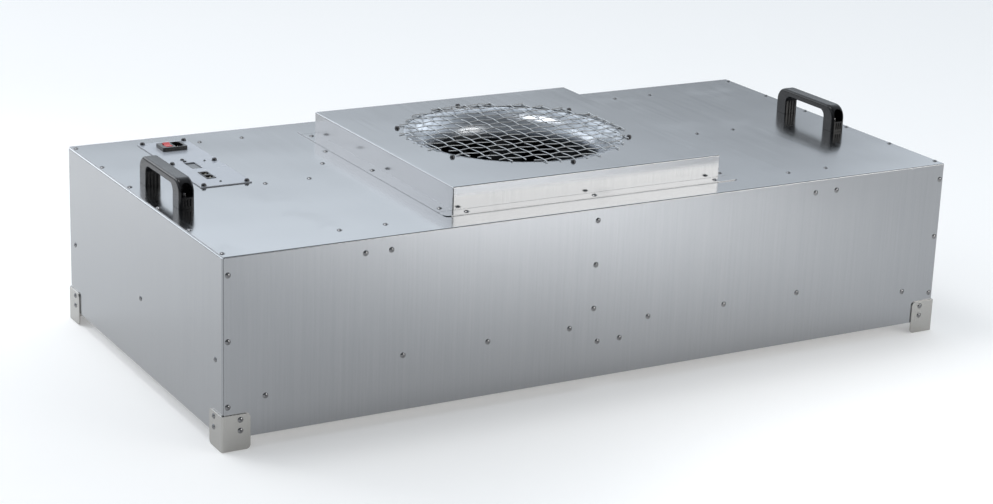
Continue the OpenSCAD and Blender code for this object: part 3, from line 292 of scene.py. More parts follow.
def plain_metal(name, colour, roughness, speck=400.0, depth=0.00002, tinting=0.05):
    """Cast, drawn or turned metal with a fine irregular surface"""
    material, tree, shader = new_material(name)
    place = object_place(tree)
    spots = noise(tree, place, speck, 3.0)
    wide = noise(tree, place, speck / 12.0, 2.0)
    tint(tree, shader, colour, tinting, tree.math("MULTIPLY", tree.math("ADD", spots, wide), 0.5))
    tree.feed(shader.inputs["Roughness"], tree.spread(wide, 0.3, 0.7, roughness - 0.04, roughness + 0.06))
    shader.inputs["Metallic"].default_value = 1.0
    relief(tree, shader, (spots, depth))
    return material


def zinc_sheet(name, colour, roughness):
    """Galvanised sheet: crystal patches of slightly different shine"""
    material, tree, shader = new_material(name)
    place = object_place(tree)
    cells = tree.add("ShaderNodeTexVoronoi", {"Vector": place, "Scale": 120.0})
    shade = tree.add("ShaderNodeSeparateColor", {0: cells.outputs["Color"]}).outputs[0]
    tint(tree, shader, colour, 0.07, shade)
    tree.feed(shader.inputs["Roughness"], tree.spread(shade, 0.0, 1.0, roughness - 0.08, roughness + 0.08))
    shader.inputs["Metallic"].default_value = 1.0
    relief(tree, shader, (noise(tree, place, 500.0), 0.00002))
    return material


def spun_steel(name, colour, roughness):
    """Spun sheet: fine rings round the axis of the inlet"""
    material, tree, shader = new_material(name)
    place = tree.add("ShaderNodeSeparateXYZ", {0: object_place(tree)})
    flat = tree.add("ShaderNodeCombineXYZ", {"X": place.outputs["X"], "Y": place.outputs["Y"]})
    radius = tree.add("ShaderNodeVectorMath", {0: flat.outputs[0]}, operation="LENGTH").outputs["Value"]
    ring = tree.add("ShaderNodeCombineXYZ", {"X": radius, "Y": place.outputs["Z"]}).outputs[0]
    rings = noise(tree, ring, 900.0, 2.0)
    wide = noise(tree, object_place(tree), 14.0, 2.0)
    tint(tree, shader, colour, 0.05, rings)
    tree.feed(shader.inputs["Roughness"], tree.spread(wide, 0.3, 0.7, roughness - 0.02, roughness + 0.04))
    shader.inputs["Metallic"].default_value = 1.0
    relief(tree, shader, (wide, 0.0006), (rings, 0.000008))
    return material


def moulded(name, colour, roughness, texture=0.00003, speck=900.0, tinting=0.08, gloss=0.5):
    """Moulded plastic, rubber or paint with a fine skin texture and slight sink marks"""
    material, tree, shader = new_material(name)
    place = object_place(tree)
    fine = noise(tree, place, speck, 2.0)
    wide = noise(tree, place, 45.0, 2.0)
    tint(tree, shader, colour, tinting, wide)
    tree.feed(shader.inputs["Roughness"], tree.spread(wide, 0.3, 0.7, roughness - 0.05, roughness + 0.06))
    shader.inputs["Specular IOR Level"].default_value = gloss
    relief(tree, shader, (wide, 0.0001), (fine, texture))
    return material


FINISHES = {}


def make_finishes():
    """All the materials, by the record's slot"""
    sheet = bpy.context.scene.ffu_sheet
    steel = tuple(sheet.steel_colour)
    rough = sheet.steel_roughness
    FINISHES.update({
        "casing_steel": brushed_steel("Brushed casing steel", steel, rough, 0.000008, 0.0005),
        "foot_steel": brushed_steel(
            "Brushed foot steel", (0.40, 0.392, 0.375), rough + 0.1, 0.000014, 0.0002),
        "guard_wire": plain_metal("Drawn wire", (0.40, 0.41, 0.42), 0.4),
        # painted shade: the screws' base colour is kept dark so their heads look as dark as shaded domes
        "screw_steel": plain_metal("Screw steel", (0.09, 0.09, 0.093), 0.2),
        "spun_steel": spun_steel("Spun steel", (0.42, 0.44, 0.47), 0.26),
        "galvanised": zinc_sheet("Galvanised sheet", (0.58, 0.60, 0.62), 0.38),
        "isolator_rubber": moulded("Isolator rubber", (0.02, 0.02, 0.02), 0.7),
        "motor_casting": plain_metal("Cast aluminium", (0.55, 0.56, 0.57), 0.42, 700.0, 0.00006),
        "rotor_paint": moulded("Rotor paint", (0.010, 0.010, 0.011), 0.45),
        "winding": plain_metal("Varnished copper", (0.55, 0.22, 0.10), 0.35, 1200.0, 0.00012),
        "bearing_steel": plain_metal("Ground steel", (0.72, 0.73, 0.74), 0.15),
        "impeller_plastic": moulded("Impeller plastic", (0.035, 0.036, 0.038), 0.5),
        "filter_aluminium": plain_metal("Anodised aluminium", (0.76, 0.77, 0.78), 0.32),
        "filter_media": moulded("Filter paper", (0.86, 0.86, 0.83), 0.9, 0.0001, 600.0, 0.03),
        "gasket_foam": moulded("Gasket foam", (0.03, 0.03, 0.03), 0.9, 0.0002, 900.0),
        "white_paint": moulded("White paint", (0.86, 0.86, 0.85), 0.4, 0.00003, 700.0, 0.02),
        "board_green": moulded("Circuit board", (0.02, 0.12, 0.05), 0.3),
        "capacitor_can": plain_metal("Drawn can", (0.72, 0.73, 0.74), 0.25),
        "cable_jacket": moulded("Cable jacket", (0.015, 0.015, 0.016), 0.5),
        "handle_plastic": moulded("Handle plastic", (0.008, 0.008, 0.009), 0.2, gloss=0.3),
        "plate_paint": moulded("Plate lacquer", (0.34, 0.36, 0.40), 0.22, 0.00001, 700.0, 0.02),
        "module_plastic": moulded("Module plastic", (0.008, 0.008, 0.009), 0.22),
        "pin_brass": plain_metal("Plated contacts", (0.80, 0.74, 0.60), 0.25),
        "rocker_red": moulded("Red rocker", (0.50, 0.008, 0.010), 0.25),
        "display_window": moulded("Display window", (0.030, 0.034, 0.040), 0.08, 0.000004),
        "button_grey": moulded("Button plastic", (0.03, 0.031, 0.033), 0.35),
        "jack_plastic": moulded("Jack plastic", (0.008, 0.008, 0.009), 0.30),
        "light_lens": moulded("Light lens", (0.10, 0.12, 0.11), 0.12),
        # painted shade: the rivets' base colour is kept dark so their domes look as dark as if they
        # mirrored dark surroundings
        "rivet_steel": plain_metal("Rivet steel", (0.20, 0.20, 0.205), 0.1),
    })


def finish_solids():
    """Every CAD solid gets the finish of its slot"""
    for part in frame["record"]["subparts"]:
        paint(frame["nodes"][part["node"]].data, FINISHES[part["material_slot"]])


# ---------------------------------------------------------------- settings


def length(name, description, default):
    return FloatProperty(name=name, description=description, default=default, min=0.0, unit="LENGTH")


class FFU_sheet(bpy.types.PropertyGroup):
    """Sheet steel and the easing of its edges"""

    steel_colour: FloatVectorProperty(
        name="Steel", description="Colour of the brushed sheet", subtype="COLOR",
        default=(0.315, 0.322, 0.333), min=0.0, max=1.0)
    steel_roughness: FloatProperty(
        name="Roughness", description="Roughness of the brushed sheet", subtype="FACTOR",
        default=0.15, min=0.05, max=0.8)
    bell_rim_r: length("Bell start", "Radius where the bell mouth's curve starts", 160.0 * MM)
    bell_rim: length("Bell rim", "Width of the bell mouth's flat rim", 24.0 * MM)
    bell_curve_r: length("Bell curve", "Radius of the bell mouth's curve", 36.0 * MM)
    bell_throat: length("Bell throat", "Length of the bell mouth's straight throat", 5.0 * MM)
    bell_t: length("Bell sheet", "Thickness of the bell mouth's sheet", 1.5 * MM)
    box_t: length("Box sheet", "Thickness of the inlet box's sheet", 1.2 * MM)


class FFU_wires(bpy.types.PropertyGroup):
    """Woven wire guard over the inlet"""

    wire_r: length("Wire radius", "Radius of the guard's wires", 0.75 * MM)
    pitch: length("Pitch", "Distance between neighbouring wires", 22.35 * MM)
    step: length("Level step", "Height between the middles of crossing wires", 1.34 * MM)
    across_share: FloatProperty(
        name="Crimp share", description="Share of the step that the wires along X take",
        subtype="FACTOR", default=0.55, min=0.0, max=1.0)
    tail: length("Tail", "Free end of a wire past its last crossing", 14.0 * MM)
    stub: length("Stub", "Short end of a wire past its last crossing", 2.0 * MM)
    reach: length("Reach", "Radius that the crossings fill", 164.5 * MM)
    shift: length("Shift", "How far the mesh sits off the inlet's middle in X and Y", 8.0 * MM)
    sides: IntProperty(name="Sides", description="Sides of a wire's round section", default=10, min=3)


class FFU_fasteners(bpy.types.PropertyGroup):
    """Blind rivets and pan-head screws"""

    rivet_head_r: length("Rivet head", "Radius of a blind rivet's domed head", 4.0 * MM)
    rivet_head_h: length("Rivet head height", "Height of a blind rivet's head", 2.0 * MM)
    rivet_seed: IntProperty(name="Rivet seed", description="Turns the rivets' broken stems", default=11)
    screw_seed: IntProperty(name="Screw seed", description="Turns the screws' recesses", default=5)


class FFU_handle(bpy.types.PropertyGroup):
    """Moulded bridge handles"""

    grip_t: length("Grip", "Thickness of the grip", 11.0 * MM)
    leg: length("Leg", "Thickness of a leg", 26.0 * MM)
    bend_r: length("Bend", "Radius of the outer bends", 20.0 * MM)
    open_r: length("Opening bend", "Radius of the opening's upper corners", 10.0 * MM)
    round_r: length("Rounding", "Rounding of the outer edges", 4.5 * MM)
    inner_round_r: length("Inner rounding", "Rounding of the opening's edges", 2.0 * MM)
    recess_w: length("Recess width", "Width of the screw recess in each end", 16.5 * MM)
    recess_floor: length("Recess floor", "Height of the recess's floor", 16.5 * MM)
    recess_h: length("Recess height", "Height of the arched recess", 19.0 * MM)
    recess_depth: length("Recess depth", "Depth of the recess", 18.6 * MM)


class FFU_filter(bpy.types.PropertyGroup):
    """Expanded-metal guard under the filter"""

    mesh_w: length("Mesh width", "Long way of a diamond", 26.0 * MM)
    mesh_h: length("Mesh height", "Short way of a diamond", 12.0 * MM)
    strand: length("Strand", "Width of a strand", 1.1 * MM)


class FFU_stage(bpy.types.PropertyGroup):
    """Studio"""

    floor_colour: FloatVectorProperty(
        name="Floor", description="Colour of the floor", subtype="COLOR",
        default=(0.72, 0.72, 0.72), min=0.0, max=1.0)
    floor_glow: FloatProperty(
        name="Floor glow", description="Light given off by the floor", default=0.28, min=0.0)
    back_light: FloatProperty(
        name="Back light", description="Radiance of the soft box behind on the left", default=2.2, min=0.0)
    front_light: FloatProperty(
        name="Front light", description="Radiance of the soft box in front on the right",
        default=5.2, min=0.0)
    top_light: FloatProperty(
        name="Top light", description="Radiance of the lamp overhead", default=6.0, min=0.0)
    floor_light: FloatProperty(
        name="Floor light", description="Radiance of the lamp over the floor in front",
        default=7.5, min=0.0)


# ---------------------------------------------------------------- shapes


def link(obj):
    bpy.context.scene.collection.objects.link(obj)
    return obj


def keep_result(obj):
    """Turns what the modifiers make into the object's own plain mesh"""
    graph = bpy.context.evaluated_depsgraph_get()
    mesh = bpy.data.meshes.new_from_object(
        obj.evaluated_get(graph), preserve_all_data_layers=True, depsgraph=graph
    )
    obj.modifiers.clear()
    obj.data = mesh
    mesh.name = obj.name
    return obj


def grow(name, base, tree, values):
    """Runs a geometry tree on a base mesh and keeps the result as a plain mesh"""
    obj = link(bpy.data.objects.new(name, base))
    modifier = obj.modifiers.new("Shape", "NODES")
    modifier.node_group = tree
    set_inputs(modifier, values)
    return keep_result(obj)


def publish(obj, body, slot, *nodes):
    """The piece rides on its body and stands for its CAD solids"""
    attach(obj, body)
    if nodes:
        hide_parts(*nodes)
    return obj


def mesh_object(name, builder):
    """An object from a bmesh, which is freed"""
    mesh = bpy.data.meshes.new(name)
    builder.to_mesh(mesh)
    builder.free()
    return link(bpy.data.objects.new(name, mesh))


def merged(*nodes):
    """CAD solids as one bmesh of joined, flat-merged faces"""
    builder = bmesh.new()
    for node in nodes:
        builder.from_mesh(frame["nodes"][node].data)
    bmesh.ops.remove_doubles(builder, verts=builder.verts, dist=WELD)
    bmesh.ops.dissolve_limit(
        builder, angle_limit=math.radians(FLAT), verts=builder.verts, edges=builder.edges
    )
    return builder


def smooth(obj, angle):
    """Smooth shading, with sharp edges where faces meet at more than angle (in degrees)"""
    obj.data.shade_smooth()
    obj.data.set_sharp_from_angle(angle=math.radians(angle))


def paint(mesh, finish):
    """Gives a mesh one material and no other"""
    mesh.materials.clear()
    mesh.materials.append(finish)


def eased(obj, width):
    """Rounds the sharp edges by width and keeps the flats' shading flat"""
    if width > 0.0:
        obj.data.shade_smooth()
        bevel = obj.modifiers.new("Edges", "BEVEL")
        bevel.width = width
        bevel.segments = 2
        bevel.limit_method = "ANGLE"
        bevel.angle_limit = math.radians(SHARP_EDGE)
        bevel.use_clamp_overlap = False
        flats = obj.modifiers.new("Flats", "WEIGHTED_NORMAL")
        flats.mode = "FACE_AREA"
        flats.weight = 100
        keep_result(obj)
    else:
        smooth(obj, SHARP_EDGE)
    return obj


def lathe(name, outline, segments, centre=(0.0, 0.0)):
    """Turns an outline of (radius, height) points about the vertical through centre"""
    builder = bmesh.new()
    rings = []
    for radius, height in outline:
        if radius < WELD:
            rings.append([builder.verts.new((*centre, height))])
            continue
        rings.append([
            builder.verts.new((
                centre[0] + radius * math.cos(turn), centre[1] + radius * math.sin(turn), height))
            for turn in (2.0 * math.pi * k / segments for k in range(segments))
        ])
    for one, two in zip(rings, rings[1:]):
        for k in range(segments):
            corners = [one[k % len(one)], one[(k + 1) % len(one)],
                       two[(k + 1) % len(two)], two[k % len(two)]]
            distinct = list(dict.fromkeys(corners))
            if len(distinct) > 2:
                builder.faces.new(distinct)
    bmesh.ops.recalc_face_normals(builder, faces=builder.faces)
    return mesh_object(name, builder)


def arc(centre, radius, start, end, steps):
    """Points on a circle arc, angles in degrees"""
    turns = (math.radians(start + (end - start) * k / steps) for k in range(steps + 1))
    return [(centre[0] + radius * math.cos(t), centre[1] + radius * math.sin(t)) for t in turns]


def prism(builder, outline, axis, low, high):
    """A closed prism on an outline, from low to high along axis 0 (X) or 1 (Y); the
    outline's first number runs along the other one of X and Y, its second along Z"""
    def corner(point, depth):
        side, height = point
        return (depth, side, height) if axis == 0 else (side, depth, height)

    near = [builder.verts.new(corner(point, low)) for point in outline]
    far = [builder.verts.new(corner(point, high)) for point in outline]
    builder.faces.new(near)
    builder.faces.new(list(reversed(far)))
    for k in range(len(outline)):
        after = (k + 1) % len(outline)
        builder.faces.new([near[after], near[k], far[k], far[after]])
    return near, far


def carve(obj, cutters):
    """Cuts a bmesh of closed bodies out of the object"""
    bmesh.ops.recalc_face_normals(cutters, faces=cutters.faces)
    tool = mesh_object("Cutter", cutters)
    boolean = obj.modifiers.new("Cut", "BOOLEAN")
    boolean.operation = "DIFFERENCE"
    boolean.solver = "EXACT"
    boolean.object = tool
    keep_result(obj)
    bpy.data.objects.remove(tool)
    return obj


def solids_of(node):
    """The corner points of each separate solid in a CAD node"""
    builder = bmesh.new()
    builder.from_mesh(frame["nodes"][node].data)
    bmesh.ops.remove_doubles(builder, verts=builder.verts, dist=WELD)
    seen = set()
    solids = []
    for first in builder.verts:
        if first in seen:
            continue
        seen.add(first)
        waiting = [first]
        points = []
        while waiting:
            vert = waiting.pop()
            points.append(vert.co.copy())
            fresh = {edge.other_vert(vert) for edge in vert.link_edges} - seen
            seen |= fresh
            waiting.extend(fresh)
        solids.append(points)
    builder.free()
    return solids


def limits(points):
    low = Vector(min(p[axis] for p in points) for axis in range(3))
    high = Vector(max(p[axis] for p in points) for axis in range(3))
    return low, high


def outward_of(low, high):
    """The way a rivet's head faces: out of the casing's face that the rivet passes through"""
    for axis in range(3):
        for side, plane in ((-1.0, CASE_LOW[axis]), (1.0, CASE_HIGH[axis])):
            if low[axis] < plane < high[axis]:
                direction = Vector((0.0, 0.0, 0.0))
                direction[axis] = side
                return direction
    raise RuntimeError(f"a rivet between {low} and {high} passes through no face")


def seats(node, head_h, upright=False):
    """Where the fasteners of a node sit: the middle of each head's underside, and its way out"""
    places = []
    for points in solids_of(node):
        low, high = limits(points)
        outward = Vector((0.0, 0.0, 1.0)) if upright else outward_of(low, high)
        middle = (low + high) / 2
        axis = max(range(3), key=lambda k: abs(outward[k]))
        tip = high[axis] if outward[axis] > 0 else low[axis]
        middle[axis] = tip - outward[axis] * head_h
        places.append((middle, outward))
    return places


def point_mesh(name, places):
    """A mesh of loose points that carry their outward direction"""
    mesh = bpy.data.meshes.new(name)
    mesh.from_pydata([place for place, outward in places], [], [])
    directions = mesh.attributes.new("outward", "FLOAT_VECTOR", "POINT")
    for item, (place, outward) in zip(directions.data, places):
        item.vector = outward
    return mesh


def line_mesh(name, origin, lines):
    """Straight edges for the wire tree: (start, end, direction, swing), from the origin"""
    mesh = bpy.data.meshes.new(name)
    points = [origin + Vector(point) for line in lines for point in line[:2]]
    mesh.from_pydata(points, [(2 * k, 2 * k + 1) for k in range(len(lines))], [])
    along = mesh.attributes.new("along", "FLOAT", "POINT")
    swings = mesh.attributes.new("swing", "FLOAT", "POINT")
    for k, (start, end, direction, swing) in enumerate(lines):
        for m, point in enumerate((start, end)):
            along.data[2 * k + m].value = Vector(point).dot(Vector(direction))
            swings.data[2 * k + m].value = swing
    return mesh


# ---------------------------------------------------------------- pieces


class FFU_OT_finishes(bpy.types.Operator):
    """Give every solid of the unit its material"""

    bl_idname = "ffu.finishes"
    bl_label = "Finishes"

    def execute(self, context):
        make_finishes()
        finish_solids()
        return {"FINISHED"}


class FFU_OT_guard(bpy.types.Operator):
    """Weave the wire guard over the inlet"""

    bl_idname = "ffu.guard"
    bl_label = "Wire guard"

    def execute(self, context):
        wires = context.scene.ffu_wires
        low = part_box("inlet_guard")[0]
        across = wires.across_share * wires.step
        origin = Vector((wires.shift, wires.shift, low.z + across + wires.wire_r))
        reach = wires.reach / wires.pitch
        lines = []
        for i in range(-int(reach), int(reach) + 1):
            crossings = int(math.sqrt(reach * reach - i * i))
            start = -crossings * wires.pitch - wires.tail
            end = crossings * wires.pitch + wires.stub
            side = i * wires.pitch
            sign = 1.0 if i % 2 == 0 else -1.0
            lines.append(((start, side, 0.0), (end, side, 0.0), (1.0, 0.0, 0.0), sign * across))
            lines.append((
                (side, start, 0.0), (side, end, 0.0), (0.0, 1.0, 0.0), sign * (across - wires.step)))
        guard = grow("wire_guard", line_mesh("wire_guard", origin, lines), wire_tree(), {
            "Radius": wires.wire_r, "Sides": wires.sides, "Pitch": wires.pitch,
            "Step": wires.pitch / 8.0, "Finish": FINISHES["guard_wire"]})
        guard.data.set_sharp_from_angle(angle=math.radians(50.0))
        publish(guard, "casing", "guard_wire", "inlet_guard")
        return {"FINISHED"}


class FFU_OT_filter_guard(bpy.types.Operator):
    """Stretch the expanded-metal guard under the filter"""

    bl_idname = "ffu.filter_guard"
    bl_label = "Filter guard"

    def execute(self, context):
        settings = context.scene.ffu_filter
        low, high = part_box("filter_face_guard")
        middle = (low + high) / 2
        half = settings.mesh_w / 2
        reach = int((high.x - low.x) / 2 / half) * half
        strands = int((high.y - low.y - settings.mesh_h) / settings.mesh_h)
        lines = []
        for k in range(-strands, strands + 1):
            side = k * settings.mesh_h / 2
            swing = settings.mesh_h / 4 * (1.0 if k % 2 == 0 else -1.0)
            lines.append(((-reach, side, 0.0), (reach, side, 0.0), (1.0, 0.0, 0.0), swing))
        name = "expanded_guard"
        guard = grow(name, line_mesh(name, middle, lines), wire_tree(), {
            "Radius": settings.strand / 2, "Sides": 4, "Pitch": half, "Step": half,
            "Way": (0.0, 1.0, 0.0), "Finish": FINISHES["white_paint"]})
        publish(guard, "casing", "white_paint", "filter_face_guard")
        return {"FINISHED"}


def rivet_head(settings):
    """One blind rivet: domed head, dimple with the broken stem, shank and set end"""
    radius, height = settings.rivet_head_r, settings.rivet_head_h
    rim = 0.15 * height
    cap = height - rim
    dome_r = (radius * radius + cap * cap) / (2.0 * cap)
    dimple, dimple_depth = 0.26 * radius, 0.5 * MM
    shank_r, shank_end, dome_steps, stem_slope = 2.0 * MM, -3.4 * MM, 5, 0.25
    outline = [(0.0, shank_end), (shank_r, shank_end), (shank_r, 0.0), (radius, 0.0), (radius, rim)]
    for k in range(1, dome_steps + 1):
        spot = radius + (dimple - radius) * k / dome_steps
        outline.append((spot, height - dome_r + math.sqrt(dome_r * dome_r - spot * spot)))
    top = outline[-1][1]
    outline += [(dimple * 0.9, top - dimple_depth), (dimple * 0.72, top - dimple_depth),
                (dimple * 0.68, top - 0.05 * MM), (0.0, top + 0.1 * MM)]
    head = lathe("rivet_head", outline, 20)
    stem = [v for v in head.data.vertices if v.co.z > 0 and v.co.xy.length < dimple * 0.75]
    for vert in stem:
        vert.co.z += stem_slope * vert.co.x
    smooth(head, 38.0)
    return head


def screw_head(name, radius):
    """One pan-head screw on its washer, with a crossed recess"""
    washer_h, head_h = 0.5 * radius, 1.5 * radius
    head_r, washer_r, shank_end, dome_steps = 1.7 * radius, 1.9 * radius, -3.0 * radius, 5
    dome_r = 2.2 * head_r
    outline = [(0.0, shank_end), (radius, shank_end), (radius, 0.0), (washer_r, 0.0),
               (washer_r, washer_h), (head_r, washer_h), (head_r, washer_h + 0.45 * head_h)]
    base = washer_h + head_h - dome_r
    for k in range(1, dome_steps + 1):
        spot = head_r * (1.0 - k / dome_steps)
        outline.append((spot, base + math.sqrt(dome_r * dome_r - spot * spot)))
    head = lathe(name, outline, 32)
    cross = bmesh.new()
    half, arm, depth = 0.12 * head_r, 0.62 * head_r, 0.62 * head_h
    low, high = washer_h + head_h - depth, washer_h + 2.0 * head_h
    arms = [(-half, low), (half, low), (1.4 * half, high), (-1.4 * half, high)]
    for axis in (0, 1):
        prism(cross, arms, axis, -arm, arm)
    carve(head, cross)
    return eased(head, 0.06 * head_r)


class FFU_OT_rivets(bpy.types.Operator):
    """Set the blind rivets in their rows"""

    bl_idname = "ffu.rivets"
    bl_label = "Rivets"

    def execute(self, context):
        settings = context.scene.ffu_fasteners
        head = rivet_head(settings)
        tree = fastener_tree()
        for place in ("front", "rear", "ends", "top", "box", "feet"):
            node = f"rivets_{place}"
            points = point_mesh(node, seats(node, settings.rivet_head_h))
            row = grow(f"{node}_row", points, tree, {
                "Fastener": head, "Seed": settings.rivet_seed, "Finish": FINISHES["rivet_steel"]})
            publish(row, "casing", "rivet_steel", node)
        bpy.data.objects.remove(head)
        return {"FINISHED"}


# Rows of machine screws: node, radius of the thread in mm, body
SCREWS = (
    ("guard_screws", 2.0, "casing"), ("plate_screws", 2.0, "casing"),
    ("handle_screws", 2.5, "casing"), ("impeller_screws", 2.0, "impeller"),
)
SCREW_HEAD_H = 2.0  # height of a head and its washer, in radii of the thread


class FFU_OT_screws(bpy.types.Operator):
    """Set the machine screws"""

    bl_idname = "ffu.screws"
    bl_label = "Screws"

    def execute(self, context):
        settings = context.scene.ffu_fasteners
        tree = fastener_tree()
        for node, thread, body in SCREWS:
            radius = thread * MM
            head = screw_head(f"{node}_head", radius)
            points = point_mesh(node, seats(node, SCREW_HEAD_H * radius, upright=True))
            row = grow(f"{node}_row", points, tree, {
                "Fastener": head, "Seed": settings.screw_seed, "Finish": FINISHES["screw_steel"]})
            publish(row, body, "screw_steel", node)
            bpy.data.objects.remove(head)
        return {"FINISHED"}


class FFU_OT_bell_mouth(bpy.types.Operator):
    """Spin the polished bell mouth"""

    bl_idname = "ffu.bell_mouth"
    bl_label = "Bell mouth"

    def execute(self, context):
        sheet = context.scene.ffu_sheet
        top = BOX_TOP - sheet.box_t
        centre = (sheet.bell_rim_r, top - sheet.bell_curve_r)
        throat_end = centre[1] - sheet.bell_throat
        steps, segments = 24, 192
        outer = arc(centre, sheet.bell_curve_r, 90.0, 180.0, steps)
        inner = arc(centre, sheet.bell_curve_r - sheet.bell_t, 180.0, 90.0, steps)
        rim = sheet.bell_rim_r + sheet.bell_rim
        outline = [(rim, top), *outer, (outer[-1][0], throat_end),
                   (inner[0][0], throat_end), *inner, (rim, top - sheet.bell_t), (rim, top)]
        bell = lathe("spun_bell_mouth", outline, segments)
        weld_ends(bell)
        smooth(bell, 40.0)
        paint(bell.data, FINISHES["spun_steel"])
        publish(bell, "casing", "spun_steel", "bell_mouth")
        return {"FINISHED"}


def weld_ends(obj):
    """Joins a turned outline's first and last ring"""
    builder = bmesh.new()
    builder.from_mesh(obj.data)
    bmesh.ops.remove_doubles(builder, verts=builder.verts, dist=WELD)
    bmesh.ops.recalc_face_normals(builder, faces=builder.faces)
    builder.to_mesh(obj.data)
    builder.free()


def mirrored(points):
    """The same points on the other side, in the opposite order"""
    return [(-y, z) for y, z in reversed(points)]


def handle_outline(half, height, settings):
    """A bridge handle seen from the side: outer arch, then back along the opening"""
    bend, opening = settings.bend_r, settings.open_r
    inner = half - settings.leg
    roof = height - settings.grip_t
    shoulder = arc((half - bend, height - bend), bend, 90.0, 0.0, 10)
    corner = arc((inner - opening, roof - opening), opening, 0.0, 90.0, 8)
    outer = [(-half, 0.0), *mirrored(shoulder), *shoulder, (half, 0.0)]
    hollow = [(inner, 0.0), *corner, *mirrored(corner), (-inner, 0.0)]
    return outer, hollow


def handle_cutters(half, settings):
    """Screw recesses, ribs under them and flutes beside the opening, as closed bodies"""
    cutters = bmesh.new()
    rib_w, rib_depth, rib_low, rib_h = 2.0 * MM, 1.5 * MM, 4.0 * MM, 10.0 * MM
    flute_r, flute_l, flute_pitch = 1.2 * MM, 42.0 * MM, 5.0 * MM
    past = 1.0 * MM  # how far the cutters reach past the handle's ends
    round_r = settings.recess_w / 2
    floor = settings.recess_floor
    spring = floor + settings.recess_h - round_r
    arch = [(-round_r, floor), (round_r, floor), *arc((0.0, spring), round_r, 0.0, 180.0, 16)]
    for side in (-1.0, 1.0):
        end = side * (half + past)
        inside = side * (half - settings.recess_depth)
        prism(cutters, arch, 1, min(end, inside), max(end, inside))
        for k in (-1, 0, 1):
            middle = 2 * k * rib_w
            rib = [(middle - rib_w / 2, rib_low), (middle + rib_w / 2, rib_low),
                   (middle + rib_w / 2, rib_low + rib_h), (middle - rib_w / 2, rib_low + rib_h)]
            shallow = side * (half - rib_depth)
            prism(cutters, rib, 1, min(end, shallow), max(end, shallow))
            flute = bmesh.ops.create_cone(
                cutters, cap_ends=True, segments=16, radius1=flute_r, radius2=flute_r, depth=flute_l)
            place = (flute_pitch * k, side * (half - settings.leg), 0.0)
            bmesh.ops.translate(cutters, verts=flute["verts"], vec=place)
    return cutters


def bridge_handle(name, node, settings):
    """A moulded handle made in its own place over the CAD one"""
    low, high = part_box(node)
    middle = (low + high) / 2
    half, height, width = (high.y - low.y) / 2, high.z - low.z, high.x - low.x
    builder = bmesh.new()
    outer, hollow = handle_outline(half, height, settings)
    near, far = prism(builder, outer + hollow, 0, -width / 2, width / 2)
    bmesh.ops.recalc_face_normals(builder, faces=builder.faces)
    count = len(outer)
    for start, stop, radius, steps in ((0, count, settings.round_r, 6),
                                       (count, len(near), settings.inner_round_r, 4)):
        ring = [(side[k], side[k + 1]) for side in (near, far) for k in range(start, stop - 1)
                if side[k].is_valid and side[k + 1].is_valid]
        rim = [builder.edges.get(pair) for pair in ring]
        bmesh.ops.bevel(builder, geom=[edge for edge in rim if edge], offset=radius,
                        segments=steps, profile=0.5, affect="EDGES", clamp_overlap=False)
    handle = mesh_object(name, builder)
    carve(handle, handle_cutters(half, settings))
    for vert in handle.data.vertices:
        vert.co += Vector((middle.x, middle.y, low.z))
    eased(handle, 0.3 * MM)
    paint(handle.data, FINISHES["handle_plastic"])
    return publish(handle, "casing", "handle_plastic", node)


class FFU_OT_handles(bpy.types.Operator):
    """Mould the two bridge handles"""

    bl_idname = "ffu.handles"
    bl_label = "Handles"

    def execute(self, context):
        for side in ("left", "right"):
            bridge_handle(f"{side}_bridge", f"{side}_handle", context.scene.ffu_handle)
        return {"FINISHED"}


# Solids kept in their own shape, with eased edges: node, easing in mm, body
EASED = (
    ("foot_front_left", 0.35, "casing"), ("foot_front_right", 0.35, "casing"),
    ("foot_rear_left", 0.35, "casing"), ("foot_rear_right", 0.35, "casing"),
    ("inlet_box", 0.25, "casing"), ("control_plate", 0.3, "casing"),
    ("power_module", 0.3, "casing"), ("inlet_pins", 0.4, "casing"),
    ("display", 0.25, "casing"), ("jack_block", 0.25, "casing"),
    ("status_lights", 0.0, "casing"), ("filter_frame", 0.3, "casing"),
    ("filter_clips", 0.2, "casing"), ("motor_cable", 0.0, "casing"),
    ("rocker", 0.4, "rocker"), ("button_up", 0.2, "button_up"), ("button_down", 0.2, "button_down"),
    ("rotor", 0.3, "impeller"), ("impeller_disc", 0.3, "impeller"), ("impeller_shroud", 0.2, "impeller"),
)


class FFU_OT_eased(bpy.types.Operator):
    """Ease the edges of the solids that keep their own shape"""

    bl_idname = "ffu.eased"
    bl_label = "Eased solids"

    def execute(self, context):
        slots = {part["node"]: part["material_slot"] for part in frame["record"]["subparts"]}
        for node, width, body in EASED:
            piece = eased(mesh_object(f"{node}_eased", merged(node)), width * MM)
            paint(piece.data, FINISHES[slots[node]])
            publish(piece, body, slots[node], node)
        return {"FINISHED"}


class FFU_OT_contacts(bpy.types.Operator):
    """Lay the sprung contact wires in the two jacks"""

    bl_idname = "ffu.contacts"
    bl_label = "Jack contacts"

    def execute(self, context):
        low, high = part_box("jack_block")
        middle = Vector(((low.x + high.x) / 2, (low.y + high.y) / 2, high.z))
        count, pitch, jack_offset = 8, 1.02 * MM, 8.25 * MM
        lines = []
        for side in (-1.0, 1.0):
            for k in range(count):
                y = side * jack_offset + (k - (count - 1) / 2) * pitch
                start, end = Vector((2.6 * MM, y, -1.6 * MM)), Vector((-3.6 * MM, y, -6.5 * MM))
                lines.append((start, end, (1.0, 0.0, 0.0), 0.0))
        wires = grow("jack_contacts", line_mesh("jack_contacts", middle, lines), wire_tree(), {
            "Radius": 0.28 * MM, "Sides": 6, "Pitch": 20.0 * MM, "Step": 4.0 * MM,
            "Finish": FINISHES["pin_brass"]})
        publish(wires, "casing", "pin_brass")
        return {"FINISHED"}


# ---------------------------------------------------------------- stage

